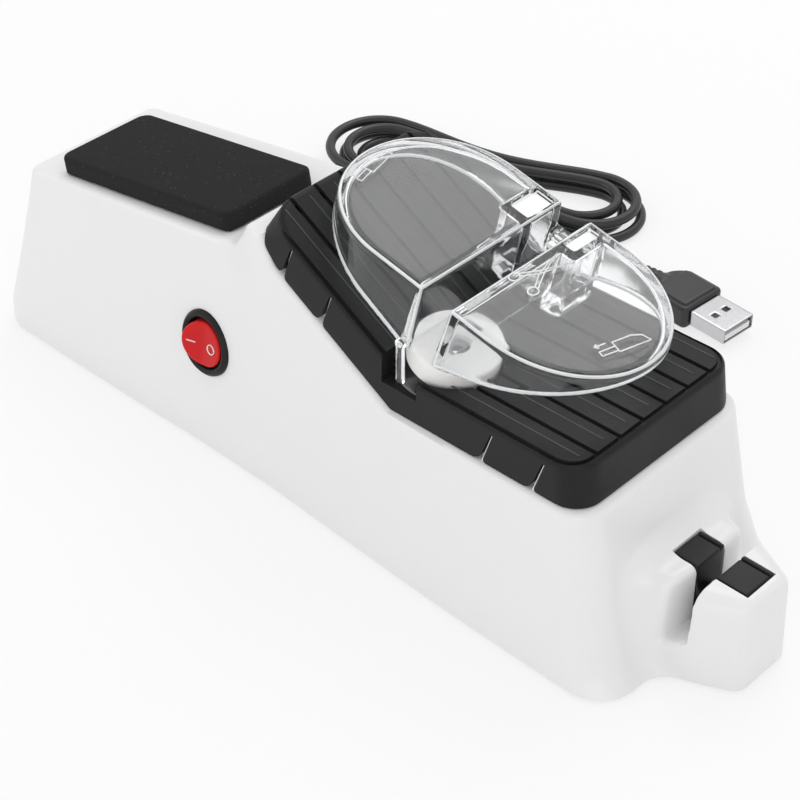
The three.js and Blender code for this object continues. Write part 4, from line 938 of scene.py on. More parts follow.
# %% Frames of the drive and the switch
DRIVE_TILT = math.radians(12)
DRIVE = Matrix.Translation((144.3, -14.4, 60)) @ Euler((0, DRIVE_TILT, 0)).to_matrix().to_4x4()
SWITCH_YAW, SWITCH_LEAN = math.radians(-3.2), math.radians(90 - 8.5)
SWITCH_TURN = Matrix.Rotation(SWITCH_YAW, 4, "Z") @ Matrix.Rotation(SWITCH_LEAN, 4, "X")
SWITCH = Matrix.Translation((73.7, -27.9, 29.9)) @ SWITCH_TURN


def plug_cutter(name, radius, low, high, matrix=None, steps=64):
    """A round cutter on the Z axis of a frame."""
    profile = [(0, low), (radius, low), (radius, high), (0, high)]
    return lathed(name, profile, white_gloss, steps, matrix)


def arc_points(x, y, radius, start, steps):
    """Points on a quarter circle from an angle in degrees on."""
    angles = np.radians(np.linspace(start, start + 90, steps + 1))
    return [(x + radius * math.cos(a), y + radius * math.sin(a)) for a in angles]


def rounded_plan(x0, x1, half, radius, steps=8):
    """A rectangle with round corners, centred on the X axis."""
    outline = []
    for cx, cy, start in (
        (x0 + radius, radius - half, 180), (x1 - radius, radius - half, 270),
        (x1 - radius, half - radius, 0), (x0 + radius, half - radius, 90),
    ):
        outline += arc_points(cx, cy, radius, start, steps)
    return outline


def plan_bar(name, outline, low, high):
    """A prism standing on a plan outline."""
    return bar(name, outline, low, high, axis=2)


# %% Sizes of the cover
COVER_HALF, COVER_THICK = 28.07, 2.0
COVER_START, COVER_END = 93.6, 192.0
COVER_CREST, COVER_VALLEY, COVER_END_TOP = (95.4, 79.9), (138.9, 54.9), (190.6, 56.2)
SHOULDER_TOP, COVER_TALLEST = 72, 82
SHOULDER = [
    (88, SHOULDER_TOP), (95.5, SHOULDER_TOP), (99.5, 65.3), (136.5, 43.7), (230, 45.84),
]
SEAT_BACK, SEAT_CORNER, SEAT_CREST = 1.8, 8.2, 100.4
NOTCH_X, NOTCH_FLOOR, NOTCH_DEPTH, NOTCH_WALL = (133.7, 144.2), 50.4, 6.4, 1.3


def shoulder_z(x):
    """The height of the housing's shoulder, on which the cover sits."""
    return float(np.interp(x, [p[0] for p in SHOULDER], [p[1] for p in SHOULDER]))


def cover_z(x):
    """The height of the cover's top over a place along the body."""
    (x0, z0), (x1, z1), (x2, z2) = COVER_CREST, COVER_VALLEY, COVER_END_TOP
    ramp = z0 + (z1 - z0) * (x - x0) / (x1 - x0)
    flat = z1 + (z2 - z1) * (x - x1) / (x2 - x1)
    return ramp if x < x1 else flat


def seat_piece(name, drop, bottom):
    """The raised seat under the cover, or the space inside it."""
    half = COVER_HALF - COVER_THICK - GAP - drop
    x0 = COVER_START + COVER_THICK + SEAT_BACK + GAP + drop
    x1 = COVER_END_TOP[0] - COVER_THICK - GAP - drop
    sink = COVER_THICK + 2 * GAP + drop
    crest = COVER_CREST[1] - COVER_THICK - sink
    line = [
        (x0, bottom), (x1, bottom), (x1, COVER_END_TOP[1] - sink),
        (COVER_VALLEY[0], COVER_VALLEY[1] - sink),
        (SEAT_CREST + drop, crest), (x0 + 2, crest), (x0, crest - 6),
    ]
    slab = bar(name, line, -half, half)
    plan = rounded_plan(x0, x1, half, max(SEAT_CORNER - drop, GAP))
    pillar = plan_bar("seat_plan", plan, bottom - 3, COVER_TALLEST + 3)
    return combined(slab, [pillar], "INTERSECT")


def notch_box(name, grow, top):
    """The pocket for the guard's tab, grown on every side."""
    return box_bar(
        name,
        (NOTCH_X[0] - NOTCH_WALL - grow, NOTCH_X[1] + NOTCH_WALL + grow),
        (-COVER_HALF - grow, NOTCH_DEPTH + NOTCH_WALL + grow - COVER_HALF),
        (NOTCH_FLOOR - NOTCH_WALL - grow, top),
    )


# %% Space inside the housing
def inside_field(x, y, z):
    """The body drawn in by one wall, and open below."""
    return np.maximum(body_field(x, y, z) + WALL, INSIDE_Z - z)


inside_axes = (spaced((-10, 3), (212, 1)), spaced((-38, 3), (38, 1)), spaced((-6, 3), (75, 1)))
inside = net_piece("inside", inside_field, inside_axes, white_gloss, rounds=0)
inside = combined(inside, [seat_piece("seat_inside", WALL, 35.3)], "UNION")
print("inside faces", len(inside.data.polygons))


# %% Cuts of the housing
SCREW_XS, SCREW_Y = (40, 171), 18.5
BOSS_RADIUS, BOSS_LOW, BOSS_HIGH = 3.4, 4, 43.4
POST_RADIUS, POST_REACH, POST_LOW = 2.8, 15.5, -15.7
POST_HIGH_NEAR, POST_HIGH_FAR = -8.0, -6.2
WHEEL_ROOM = (12, -13, 6)
SWITCH_HOLE, SWITCH_SEAT = (7.6, -13, 3), (8.75, -0.5, 3)
INSERT_ROOM = ((200.9, 221.6), (-5.2, 5.2), (8.1, 60))
combined(housing, [seat_piece("seat", 0, 38.3)], "UNION")
combined(housing, [inside], "DIFFERENCE")
combined(housing, [box_bar("under", (-20, 240), (-50, 50), (-9, BOTTOM_Z))], "DIFFERENCE")
bosses = [
    plug_cutter("boss", BOSS_RADIUS, BOSS_LOW, BOSS_HIGH, Matrix.Translation((x, y, 0)), 32)
    for x in SCREW_XS for y in (-SCREW_Y, SCREW_Y)
]
posts = [
    plug_cutter("post", POST_RADIUS, POST_LOW, high, DRIVE @ Matrix.Translation((x, 0, 0)), 32)
    for x, high in ((-POST_REACH, POST_HIGH_NEAR), (POST_REACH, POST_HIGH_FAR))
]
combined(housing, [*bosses, *posts], "UNION")
outlet_frame = Matrix.Translation(OUTLET) @ Matrix.Rotation(math.radians(-90), 4, "X")
combined(housing, [
    plug_cutter("wheel_pocket", *WHEEL_ROOM, DRIVE),
    plug_cutter("switch_hole", *SWITCH_HOLE, SWITCH),
    plug_cutter("switch_seat", *SWITCH_SEAT, SWITCH),
    plug_cutter("outlet_hole", 2.6, -6, 4, outlet_frame, 32),
    box_bar("slot_far_wall", (SLOT_START + 2.4, SLOT_END), (-22, 22), (SLOT_FLOOR + 1.7, 60)),
    box_bar("insert_pocket", *INSERT_ROOM),
    notch_box("notch_recess", GAP, COVER_TALLEST),
], "DIFFERENCE")
print("housing faces", len(housing.data.polygons))


# %% [markdown]
# The skirt hides the edge of the base plate, so from the side no seam shows. The plate keeps
# its vents and screw holes: it is a copy of the frame's own plate, trimmed to fit inside.

# %% Base plate
def plate_room(x, y, z):
    """The room that the skirt leaves for the base plate."""
    return np.maximum(body_field(x, y, z) + WALL + 0.1, np.abs(z - 2) - 3)


room_axes = (spaced((-10, 1.5), (212, 1)), spaced((-38, 1.5), (38, 1)), spaced((-3, 1), (7, 1)))
room = net_piece("plate_room", plate_room, room_axes, plate_white, rounds=1)
plate_data = bpy.data.meshes.new("base_plate_sheet")
weld(frame["nodes"]["base_plate"].data, plate_data, 1e-6)
plate = finished("base_plate_sheet", plate_data, plate_white, 30)
plate = combined(plate, [room], "INTERSECT", 30)
print("plate faces", len(plate.data.polygons))
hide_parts("base_plate")
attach(plate, "base")


# %% [markdown]
# The black guide cover is a thin shell over the hump. Its top is ribbed into planks, a border
# groove follows its outline, its side walls are slit into panels, and the panels' lower
# corners are rounded. The shell is a field with soft edges; the grooves all follow a path, so
# Geometry Nodes sweep one profile along them, and the result is cut out.

# %% Cover shell
COVER_DRAFT, DRAFT_HIGH, SIDE_SHARE, START_SHARE = 0.13, 10, 0.25, 2.2
CORNER_LOW, CORNER_GROWTH, END_CORNER = 3.5, 5, 7
CREST_EDGE, TOP_EDGE, CREST_LIFT, COVER_LOW = 1.2, 1.1, 0.35, 41.5
cover_top_line = rounded_line([((80, 88.75), 0), (COVER_VALLEY, 2.2), ((205, 56.56), 0)])
fine_cover_top = np.interp(FINE_X, cover_top_line[:, 0], cover_top_line[:, 1])
fine_cover_steep = np.hypot(1, np.gradient(fine_cover_top, FINE_X))


def cover_field(x, y, z):
    """The cover's outer surface: round plan corners, drafted walls, soft top edge."""
    fall = np.interp(x, FINE_X, fine_cover_top) - z
    draft = COVER_DRAFT * np.clip(DRAFT_HIGH - fall, 0, DRAFT_HIGH)
    side = np.abs(y) - COVER_HALF + SIDE_SHARE * draft
    start = COVER_START + START_SHARE * draft - x
    end = x - COVER_END + draft
    corner = CORNER_LOW + CORNER_GROWTH * draft
    plan = round_meet(round_meet(side, start, corner), end, END_CORNER)
    top = -fall / np.interp(x, FINE_X, fine_cover_steep)
    crest = (z - COVER_CREST[1] - CREST_LIFT) * 0.9 + 0.3 * (COVER_CREST[0] - x)
    return round_meet(plan, round_meet(top, crest, CREST_EDGE), TOP_EDGE)


cover_axes = (
    spaced((92, 0.75), (194, 1)),
    spaced((-30, 0.6), (-24, 1.2), (24, 0.6), (30, 1)),
    spaced((40, 0.75), (83, 1)),
)


def cover_shell_field(x, y, z):
    """The cover's outer surface, closed below."""
    return np.maximum(cover_field(x, y, z), COVER_LOW - z)


cover = net_piece("guide_cover_moulding", cover_shell_field, cover_axes, black_satin)


# %% Groove paths
PLANK_PITCH = 7.84
GROOVE_START, GROOVE_END = 97.6, 189.3
BORDER_Y, BORDER_CORNER = 26.95, 6.0
PATH_STEPS = 90


def path_on_cover(plan, sink):
    """A plan path laid on the cover's top, a little below it."""
    spots = np.asarray(plan, float)
    z = np.interp(spots[:, 0], FINE_X, fine_cover_top)
    return np.column_stack([spots, z - sink])


def border_plan():
    """A plan path round the cover, open at the crest."""
    centre_x, centre_y = GROOVE_END - BORDER_CORNER, BORDER_CORNER - BORDER_Y
    line = [(x, -BORDER_Y) for x in np.linspace(GROOVE_START + 3.4, centre_x, PATH_STEPS)]
    line += arc_points(centre_x, centre_y, BORDER_CORNER, -90, 8)[1:]
    return line + [(x, -y) for x, y in line[::-1]]


def wires(name, paths):
    """One mesh of loose edges from several paths."""
    points = np.concatenate(paths)
    edges, start = [], 0
    for path in paths:
        edges += [(start + i, start + i + 1) for i in range(len(path) - 1)]
        start += len(path)
    data = bpy.data.meshes.new(name)
    data.from_pydata(metres(points).tolist(), edges, [])
    return add_object(name, data)


plank_xs = np.linspace(COVER_START - 1, GROOVE_END, PATH_STEPS)
plank_lines = [
    path_on_cover([(x, k * PLANK_PITCH) for x in plank_xs], 0)
    for k in (-2.5, -1.5, -0.5, 0.5, 1.5, 2.5)
]
border_line = path_on_cover(border_plan(), 0)
print("plank grooves", len(plank_lines), "border points", len(border_line))


# %% [markdown]
# Grooves, ridges, edge lines and marks are all one profile carried along a path, so one node
# tree makes them all: loose edges become a curve, a trapezoid is swept along it with its
# widths and height as inputs, and the evaluated result is kept as a plain mesh.

# %% Geometry nodes for a swept profile
def make_sweep_tree():
    """Sweeps a trapezoid profile along loose edges."""
    tree = bpy.data.node_groups.new("sweep_profile", "GeometryNodeTree")
    tree.is_modifier = True
    for title, kind, value in (
        ("Geometry", "NodeSocketGeometry", None),
        ("Bottom Width", "NodeSocketFloat", 0.0008),
        ("Mouth Width", "NodeSocketFloat", 0.0015),
        ("Height", "NodeSocketFloat", 0.0009),
        ("Finish", "NodeSocketMaterial", None),
    ):
        socket(tree, title, kind, "INPUT", value)
    socket(tree, "Geometry", "NodeSocketGeometry", "OUTPUT")
    start, end = tree.nodes.new("NodeGroupInput"), tree.nodes.new("NodeGroupOutput")
    to_curve = tree.nodes.new("GeometryNodeMeshToCurve")
    upright = tree.nodes.new("GeometryNodeSetCurveNormal")
    upright.mode = "Z_UP"
    profile = tree.nodes.new("GeometryNodeCurvePrimitiveQuadrilateral")
    profile.mode = "TRAPEZOID"
    profile.inputs["Offset"].default_value = 0
    sweep = tree.nodes.new("GeometryNodeCurveToMesh")
    sweep.inputs["Fill Caps"].default_value = True
    real = tree.nodes.new("GeometryNodeRealizeInstances")
    finish = tree.nodes.new("GeometryNodeSetMaterial")
    for giver, given, taker, taken in (
        (start, "Geometry", to_curve, "Mesh"),
        (to_curve, "Curve", upright, "Curve"),
        (upright, "Curve", sweep, "Curve"),
        (start, "Bottom Width", profile, "Top Width"),
        (start, "Mouth Width", profile, "Bottom Width"),
        (start, "Height", profile, "Height"),
        (profile, "Curve", sweep, "Profile Curve"),
        (sweep, "Mesh", real, "Geometry"),
        (real, "Geometry", finish, "Geometry"),
        (start, "Finish", finish, "Material"),
        (finish, "Geometry", end, "Geometry"),
    ):
        tree.links.new(giver.outputs[given], taker.inputs[taken])
    return tree


sweep_profile = make_sweep_tree()


def swept(name, paths, bottom, mouth, high, finish):
    """The plain mesh that the sweep makes along paths, all in millimetres."""
    source = wires(name + "_wires", paths)
    step = source.modifiers.new("sweep", "NODES")
    step.node_group = sweep_profile
    values = {"Bottom Width": bottom * MM, "Mouth Width": mouth * MM, "Height": high * MM}
    values["Finish"] = finish
    for item in sweep_profile.interface.items_tree:
        if item.item_type == "SOCKET" and item.in_out == "INPUT" and item.name in values:
            step[item.identifier] = values[item.name]
    shown = source.evaluated_get(bpy.context.evaluated_depsgraph_get())
    data = bpy.data.meshes.new_from_object(shown)
    bpy.data.objects.remove(source)
    return finished(name, data, finish)


GROOVE_SIZES = (0.8, 1.6, 1.6)
plank_grooves = swept("plank_grooves", plank_lines, *GROOVE_SIZES, black_satin)
border_groove = swept("border_groove", [border_line], *GROOVE_SIZES, black_satin)
print("groove cutter faces", len(plank_grooves.data.polygons), len(border_groove.data.polygons))


# %% [markdown]
# The slits lean and taper, and their lower corners are rounded, more on the heel side. Each is
# a bar through one side wall. Just inside every slit stands a thin strip of white, a little
# whiter than the housing, as a painted highlight that shows as a thin bright line in it.

# %% Cuts of the cover
SLIT_XS, SLIT_LEAN = (103.9, 116.1, 165.1, 179.8), 0.33
SLIT_TOP, SLIT_LOW = 0.32, 0.52
SLIT_BELOW_TOP = 2.4


def slit_ends(x):
    """The heights between which a slit runs."""
    return shoulder_z(x) + GAP, cover_z(x) - SLIT_BELOW_TOP


def slit_edge(x, z, side, grow=1.0):
    """Where one edge of a leaning, tapered slit lies at a height."""
    low, top = slit_ends(x)
    share = (z - low) / (top - low)
    half = SLIT_LOW + (SLIT_TOP - SLIT_LOW) * share
    return x + SLIT_LEAN * (z - (low + top) / 2) + side * half * grow


def slit_outline(x):
    """The slit, with its lower corners rounded, more on the heel side."""
    low, top = slit_ends(x)
    sides = []
    for side, reach in ((-1, 2.4), (1, 1.3)):
        edge = slit_edge(x, low, side)
        far = edge + side * 5
        line = rounded_line([
            ((slit_edge(x, top, side), top), 0),
            ((edge, shoulder_z(edge) + GAP), reach),
            ((far, shoulder_z(far) + GAP), 0),
        ], 7)
        sides.append([tuple(p) for p in line])
    floor = [(x - 6.5, low - 8), (x + 6.5, low - 8)]
    return sides[0] + floor + sides[1][::-1]


def side_bar(name, outline, inner, outer, side):
    """A bar between two distances from the middle, on one side."""
    return bar(name, outline, *sorted((side * inner, side * outer)))


def slit_cutter(x, side):
    """The cutter of one slit, through the wall on one side."""
    return side_bar("slit", slit_outline(x), COVER_HALF - COVER_THICK - GAP, COVER_HALF + 3, side)


def slit_highlight_strip(x, side):
    """A thin white strip inside a slit: a painted highlight that shows as a light line in it."""
    low, top = shoulder_z(x) - 1, cover_z(x) - SLIT_BELOW_TOP - 0.2
    outline = [(slit_edge(x, z, edge, share), z) for z, edge, share in (
        (low, 1, 0.9), (top, 1, 0.9), (top, -1, 0.0), (low, -1, 0.0),
    )]
    return side_bar("slit_highlight_strip", outline, COVER_HALF - COVER_THICK - 2, COVER_HALF - 0.55, side)


def cover_line(drop, low_drop):
    """The cover's side outline, or that of the space inside it."""
    line = [(x, z + GAP - low_drop) for x, z in SHOULDER[1:4]]
    (x0, z0), (x1, z1), (x2, z2) = COVER_CREST, COVER_VALLEY, COVER_END_TOP
    start, end = COVER_START + drop, COVER_END - drop
    return [
        (start, SHOULDER_TOP + GAP - low_drop), *line, (end, shoulder_z(end) + GAP - low_drop),
        (x2 - drop, z2 - drop), (x1, z1 - drop), (x0 + 1.5 * drop, z0 - 1.3 * drop),
        (start + 2.2, z0 - 1.3 * drop), (start, z0 - 8),
    ]


hollow = bar("hollow", cover_line(COVER_THICK, 3), -COVER_HALF, COVER_HALF)
hollow_start = COVER_START + COVER_THICK + 1.6
hollow_plan = rounded_plan(hollow_start, COVER_END - COVER_THICK, COVER_HALF - COVER_THICK, 8)
combined(hollow, [plan_bar("hollow_plan", hollow_plan, 30, 90)], "INTERSECT")
combined(hollow, [notch_box("notch_walls", 0, COVER_TALLEST)], "DIFFERENCE")
seat_line = [(x, z + GAP) for x, z in SHOULDER[1:]]
below = bar("below", [(80, SHOULDER_TOP + GAP), *seat_line, (230, 20), (80, 20)], -40, 40)
notch_y = (-COVER_HALF - 3, NOTCH_DEPTH - COVER_HALF)
notch = box_bar("notch", NOTCH_X, notch_y, (NOTCH_FLOOR, COVER_TALLEST))
combined(cover, [below], "DIFFERENCE")
combined(cover, [hollow], "DIFFERENCE")
combined(cover, [plank_grooves, border_groove], "DIFFERENCE")
combined(cover, [slit_cutter(x, side) for x in SLIT_XS for side in (-1, 1)], "DIFFERENCE")
combined(cover, [notch, plug_cutter("wheel_pocket", *WHEEL_ROOM, DRIVE)], "DIFFERENCE")
print("cover faces", len(cover.data.polygons))
# The white strips in the slits are painted highlights: a light line where lit housing would show.
first_slit_highlight, *other_slit_highlights = [slit_highlight_strip(x, side) for x in SLIT_XS for side in (-1, 1)]
slit_highlight_strips = combined(first_slit_highlight, other_slit_highlights, "UNION")
slit_highlight_strips.name = "slit_highlight_lines"
dress(slit_highlight_strips, mark_and_highlight_white)
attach(slit_highlight_strips, "base")
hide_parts("guide_cover")
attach(cover, "base")


# %% [markdown]
# Each plank carries one fine ridge along its middle. Its black is lighter than the cover's, a
# painted highlight, so it shows as a thin light line. The same node tree makes them, with a narrow
# profile.

# %% Plank ribs
rib_xs = np.linspace(GROOVE_START + 1, GROOVE_END - 2.6, PATH_STEPS)
rib_lines = [path_on_cover([(x, (k + 0.1) * PLANK_PITCH) for x in rib_xs], 0.02) for k in range(-3, 4)]
plank_ribs = swept("plank_ribs", rib_lines, 0.5, 0.2, 0.3, ridge_highlight_black)
print("plank ribs", len(rib_lines), "faces", len(plank_ribs.data.polygons))
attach(plank_ribs, "base")


# %% [markdown]
# The clear guard is one moulding too: two D-shaped lobes with flared walls, two hollow posts,
# a bridge at the far side and a tab at the near one. Light shows every edge of clear plastic,
# so all its edges are rounded. It is again a field, written in the guard's own tilted plane,
# where its top is flat at height zero.

# %% Tools for blocks
def slab_field(v, low, high):
    """The space between two parallel planes."""
    return np.maximum(low - v, v - high)


def block_field(places, limits, radius):
    """A box with rounded edges, from three places and three pairs of limits."""
    sides = [slab_field(place, *limit) for place, limit in zip(places, limits)]
    return round_meet(round_meet(sides[0], sides[1], radius), sides[2], radius)


# %% Sizes of the guard
GUARD_TILT = math.radians(11.3)
GUARD_AT = (142, 0, 77.9)
GUARD = Matrix.Translation(GUARD_AT) @ Euler((0, GUARD_TILT, 0)).to_matrix().to_4x4()
GUARD_WALL, GUARD_HALF, GUARD_REACH = 1.8, 23.8, 32.0
GUARD_FLARE = 2.4
LOBES = ((-15.3, 24.9, -1, 0.0, 0.0), (18.9, 27.5, 1, 8.2, -2.4))
POCKETS = (((-6.9, -1.2), (-8.3, -0.3)), ((9.4, 12.8), (8.2, 14.2)))
POCKET_Y, POST_Y, POST_Z, FOOT_X = (12.7, 21.7), (11.3, 23.1), (-32, -0.3), (-8.3, -2.2)
RIM_LIFT, RIM_LEVEL, RIM_SLOPE = 4.4, 59.9, 0.16
RAMP_SLOPE, RAMP_END, RAMP_COS = 0.5747, 141.9, 0.87
POCKET_Z, PEG_Y, PEG_Z, PEG_SINK = (-15, 20), (13.7, 20.7), (-40, -18), 2.9
TAB_X, TAB_Y, TAB_Z = (137.3, 139.4), (-27.3, -26.1), (51.8, 63.6)
HOOK_Y, HOOK_Z = (-27.3, -23.6), (62.2, 63.6)
BRIDGE = ((-1.8, 10), (20.6, 24.4), (-11.1, -7.5))


def flare_share(z):
    """How far down a lobe's wall a height lies, from 0 near the top to 1 at full reach."""
    return np.clip(-z - 1, 0, 40) / (GUARD_REACH - 1)


def ramp_z(along):
    """The height of the cover's ramp, carried on a little past its foot."""
    return COVER_CREST[1] - RAMP_SLOPE * (np.minimum(along, RAMP_END) - COVER_CREST[0])


def lobe_side(x, y, centre, long, side):
    """About the distance outside a half oval that runs on straight to the slot."""
    along = np.maximum(side * (x - centre), 0)
    share = np.hypot(along / long, y / GUARD_HALF)
    slope = np.hypot(along / long**2, y / GUARD_HALF**2) / np.maximum(share, 0.05)
    return (share - 1) / np.maximum(slope, 1e-3)


def lobe_field(x, y, z, centre, long, side, slot_x, lean):
    """One lobe: an outer skin with a rounded top edge, less the space inside it."""
    depth = flare_share(z)
    wide = lobe_side(x, y, centre, long, side) - GUARD_FLARE * depth
    slot = side * (slot_x + lean * depth - x)
    outer = round_meet(round_meet(wide, slot, 1.0), z, 1.0)
    inner = round_meet(round_meet(wide + GUARD_WALL, slot + GUARD_WALL, 0.8), z + GUARD_WALL, 1.2)
    return outer, inner


def guard_world(x, z):
    """Places along and above the body, from the guard's own plane."""
    along = GUARD_AT[0] + x * math.cos(GUARD_TILT) + z * math.sin(GUARD_TILT)
    above = GUARD_AT[2] - x * math.sin(GUARD_TILT) + z * math.cos(GUARD_TILT)
    return along, above


# %% Guard field
def guard_field(x, y, z):
    """Both trimmed lobes, with posts, bridge, tab and hook, less the slot and the pockets."""
    along, above = guard_world(x, z)
    left_outer, left_inner = lobe_field(x, y, z, *LOBES[0])
    right_outer, right_inner = lobe_field(x, y, z, *LOBES[1])
    rim_left = (ramp_z(along) + RIM_LIFT - above) * RAMP_COS
    rim_right = RIM_LEVEL + RIM_SLOPE * (along - 150) - above
    left = round_meet(round_meet(left_outer, -left_inner, 0.35), rim_left, 0.6)
    right = round_meet(round_meet(right_outer, -right_inner, 0.35), rim_right, 0.6)
    cover_top = np.interp(along, FINE_X, fine_cover_top) + GAP
    on_cover = (cover_top - above) * RAMP_COS
    left_post = block_field((x, y, z), (POCKETS[0][1], POST_Y, POST_Z), 0.8)
    left_foot = block_field((x, y, z), (FOOT_X, POST_Y, POST_Z), 0.8)
    right_post = block_field((x, y, z), (POCKETS[1][1], POST_Y, POST_Z), 0.8)
    whole = round_join(left, round_meet(left_post, rim_left, 0.4), 0.5)
    whole = round_join(whole, round_meet(left_foot, on_cover, 0.3), 0.4)
    whole = round_join(whole, right, 0.3)
    whole = round_join(whole, round_meet(right_post, on_cover, 0.3), 0.5)
    whole = round_join(whole, block_field((x, y, z), BRIDGE, 0.5), 0.6)
    for (low, high), _ in POCKETS:
        peg = block_field((x, y, z), ((low + 1, high - 1), PEG_Y, PEG_Z), 0.5)
        peg = np.maximum(peg, (cover_top - PEG_SINK - above) * RAMP_COS)
        whole = round_join(whole, peg, 0.3)
    tab = block_field((along, y, above), (TAB_X, TAB_Y, TAB_Z), 0.4)
    hook = block_field((along, y, above), (TAB_X, HOOK_Y, HOOK_Z), 0.4)
    whole = round_join(whole, round_join(tab, hook, 0.5), 0.4)
    for (low, high), _ in POCKETS:
        pocket = block_field((x, y, z), ((low, high), POCKET_Y, POCKET_Z), 0.6)
        whole = round_meet(whole, -pocket, 0.3)
    return whole


guard_axes = (
    spaced((-43, 0.75), (-10, 0.6), (-7, 0.45), (-2.4, 0.3), (3, 0.6), (16, 0.75), (50, 1)),
    spaced((-30, 0.5), (-28, 0.28), (-25, 0.75), (10, 0.6), (28, 1)),
    spaced((-35, 0.8), (-13, 0.7), (-3, 0.5), (1.5, 1)),
)
guard = net_piece("clear_guard_moulding", guard_field, guard_axes, clear_plastic, GUARD)
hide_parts("clear_guard")
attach(guard, "guard")


# %% [markdown]
# Clear plastic carries light to its edges, so they show as white lines. Here these lines are
# painted highlights: thin bright white cores lie just under the surface, along the top outline,
# the corner at the slot and the lower rim of both lobes. The two posts glow in the same way,
# because light that enters their narrow pockets is scattered there, so a white sheet, a painted
# glow, closes each pocket near its top.

# %% Painted highlight lines of the guard
def rim_height(x, side):
    """The height, in the guard's plane, at which a lobe's lower rim lies."""
    z = np.linspace(-34, 0, 341)
    along, above = guard_world(x, z)
    level = ramp_z(along) + RIM_LIFT if side < 0 else RIM_LEVEL + RIM_SLOPE * (along - 150)
    return float(np.interp(0, above - level, z))


def lobe_path(lobe, inset, height=None, steps=61):
    """Points round one lobe, from slot to slot, at one height or along the rim."""
    centre, long, side, slot_x, lean = lobe
    spots = []
    for angle in np.radians(np.linspace(-90, 90, steps)):
        z = height or -12.0
        for _ in range(6):
            grow = GUARD_FLARE * flare_share(z) - inset
            x = centre + side * (long + grow) * math.cos(angle)
            z = height or rim_height(x, side) + 0.5
        spots.append((x, (GUARD_HALF + grow) * math.sin(angle), z))
    z = height or rim_height(slot_x, side) + 0.5
    x = slot_x + side * inset + lean * flare_share(z)
    return [(x, spots[0][1], z), *spots, (x, spots[-1][1], z)]


top_paths, rim_paths = [], []
for lobe in LOBES:
    around = lobe_path(lobe, 0.55, -0.5)
    top_paths.append(moved(np.array([*around, around[0]]), GUARD))
    lower = lobe_path(lobe, 0.9)
    rim_paths.append(moved(np.array(lower), GUARD))
    top_paths.append(moved(np.array([around[0], lower[0]]), GUARD))
# White cores swept just under the guard's surface: painted highlights along its edges and lower rim.
edge_highlights = swept("guard_edge_highlights", top_paths, 0.5, 0.5, 0.5, painted_highlight_white)
rim_highlights = swept("guard_rim_highlights", rim_paths, 0.8, 0.8, 0.7, painted_highlight_white)
print("edge line faces", len(edge_highlights.data.polygons), "rim line faces", len(rim_highlights.data.polygons))


# %% Painted glow sheets in the pockets
SHEET_Y, SHEET_Z = (12.9, 21.5), (-1.6, -1.0)
# A bright white sheet near the top of each post pocket: a painted glow that stands in for light
# scattered in the posts.
glow_sheet, second_sheet = [
    box_bar("pocket_glow_sheet", (low + 0.2, high - 0.2), SHEET_Y, SHEET_Z) for (low, high), _ in POCKETS
]
combined(glow_sheet, [second_sheet], "UNION")
to_heel = Matrix.Translation((ORIGIN_X * MM, 0, 0))
in_guard = Matrix.Scale(MM, 4) @ GUARD @ Matrix.Scale(1 / MM, 4)
glow_sheet.data.transform(to_heel.inverted() @ in_guard @ to_heel)
dress(glow_sheet, painted_highlight_white)
print("sheet faces", len(glow_sheet.data.polygons))
for piece in (edge_highlights, rim_highlights, glow_sheet):
    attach(piece, "guard")


# %% [markdown]
# Small raised line marks on the guard show which way a blade goes: a knife on each lobe and a
# pair of scissors by the slot. They are plain line drawings made for this part. Each is a set
# of paths on the flat top, and the same node tree that sweeps the grooves gives them a body.

# %% Line marks on the guard
def on_top(points, place, turn, size=1.0, lift=0.1):
    """Flat points turned, sized and laid on the guard's top."""
    angle = math.radians(turn)
    spots = np.asarray(points, float) * size
    x = place[0] + spots[:, 0] * math.cos(angle) - spots[:, 1] * math.sin(angle)
    y = place[1] + spots[:, 0] * math.sin(angle) + spots[:, 1] * math.cos(angle)
    return moved(np.column_stack([x, y, np.full(len(x), lift)]), GUARD)


def ring_points(x, y, wide, tall, steps=20):
    """A closed oval of points."""
    return [
        (x + wide * math.cos(a), y + tall * math.sin(a)) for a in np.linspace(0, 2 * math.pi, steps + 1)
    ]


KNIFE = [
    [(0, 0), (9, 0), (8, 2.2), (5.5, 3.2), (0, 3.2), (0, 0)],
    [(0, 0.5), (-4.6, 0.5), (-4.6, 1.9), (0, 1.9)],
    [(-1.6, 3.6), (-4.8, 3.6)],
    [(-3.8, 4.3), (-4.8, 3.6), (-3.8, 2.9)],
]
SCISSORS = [
    ring_points(0, 3.3, 1.7, 1.3), ring_points(0, -3.3, 1.7, 1.3),
    [(1.5, 2.6), (6, 0), (16.5, -2.6), (7.2, 0.7), (1.5, 3.6)],
    [(1.5, -2.6), (6, 0), (16.5, 2.6), (7.2, -0.7), (1.5, -3.6)],
]
mark_paths = []
for drawing, place, turn, size in (
    (KNIFE, (-33.4, -5.0), 103, 0.95),
    (SCISSORS, (12.8, -4.6), 90, 0.85),
    (KNIFE, (39.8, -3.4), 77, 0.95),
):
    mark_paths += [on_top(path, place, turn, size) for path in drawing]
guard_marks = swept("guard_marks", mark_paths, 0.36, 0.22, 0.24, mark_and_highlight_white)
print("mark paths", len(mark_paths), "faces", len(guard_marks.data.polygons))
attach(guard_marks, "guard")


# %% [markdown]
# The hone pad is a flat block of bonded grit with soft edges and a slightly full top. It lies
# on the sloping block, so it is drawn flat in its own frame and tilted with it.

# %% Hone pad
PAD_LONG, PAD_WIDE, PAD_THICK, PAD_CORNER, PAD_CROWN = 65.2, 29.8, 5.2, 3.4, 0.5
PAD_X, PAD_Y = 10.8, -4.7
PAD_AT = Matrix.Translation((PAD_X, PAD_Y, block_line(PAD_X) + GAP))
PAD = PAD_AT @ Matrix.Rotation(-BLOCK_TILT, 4, "Y")


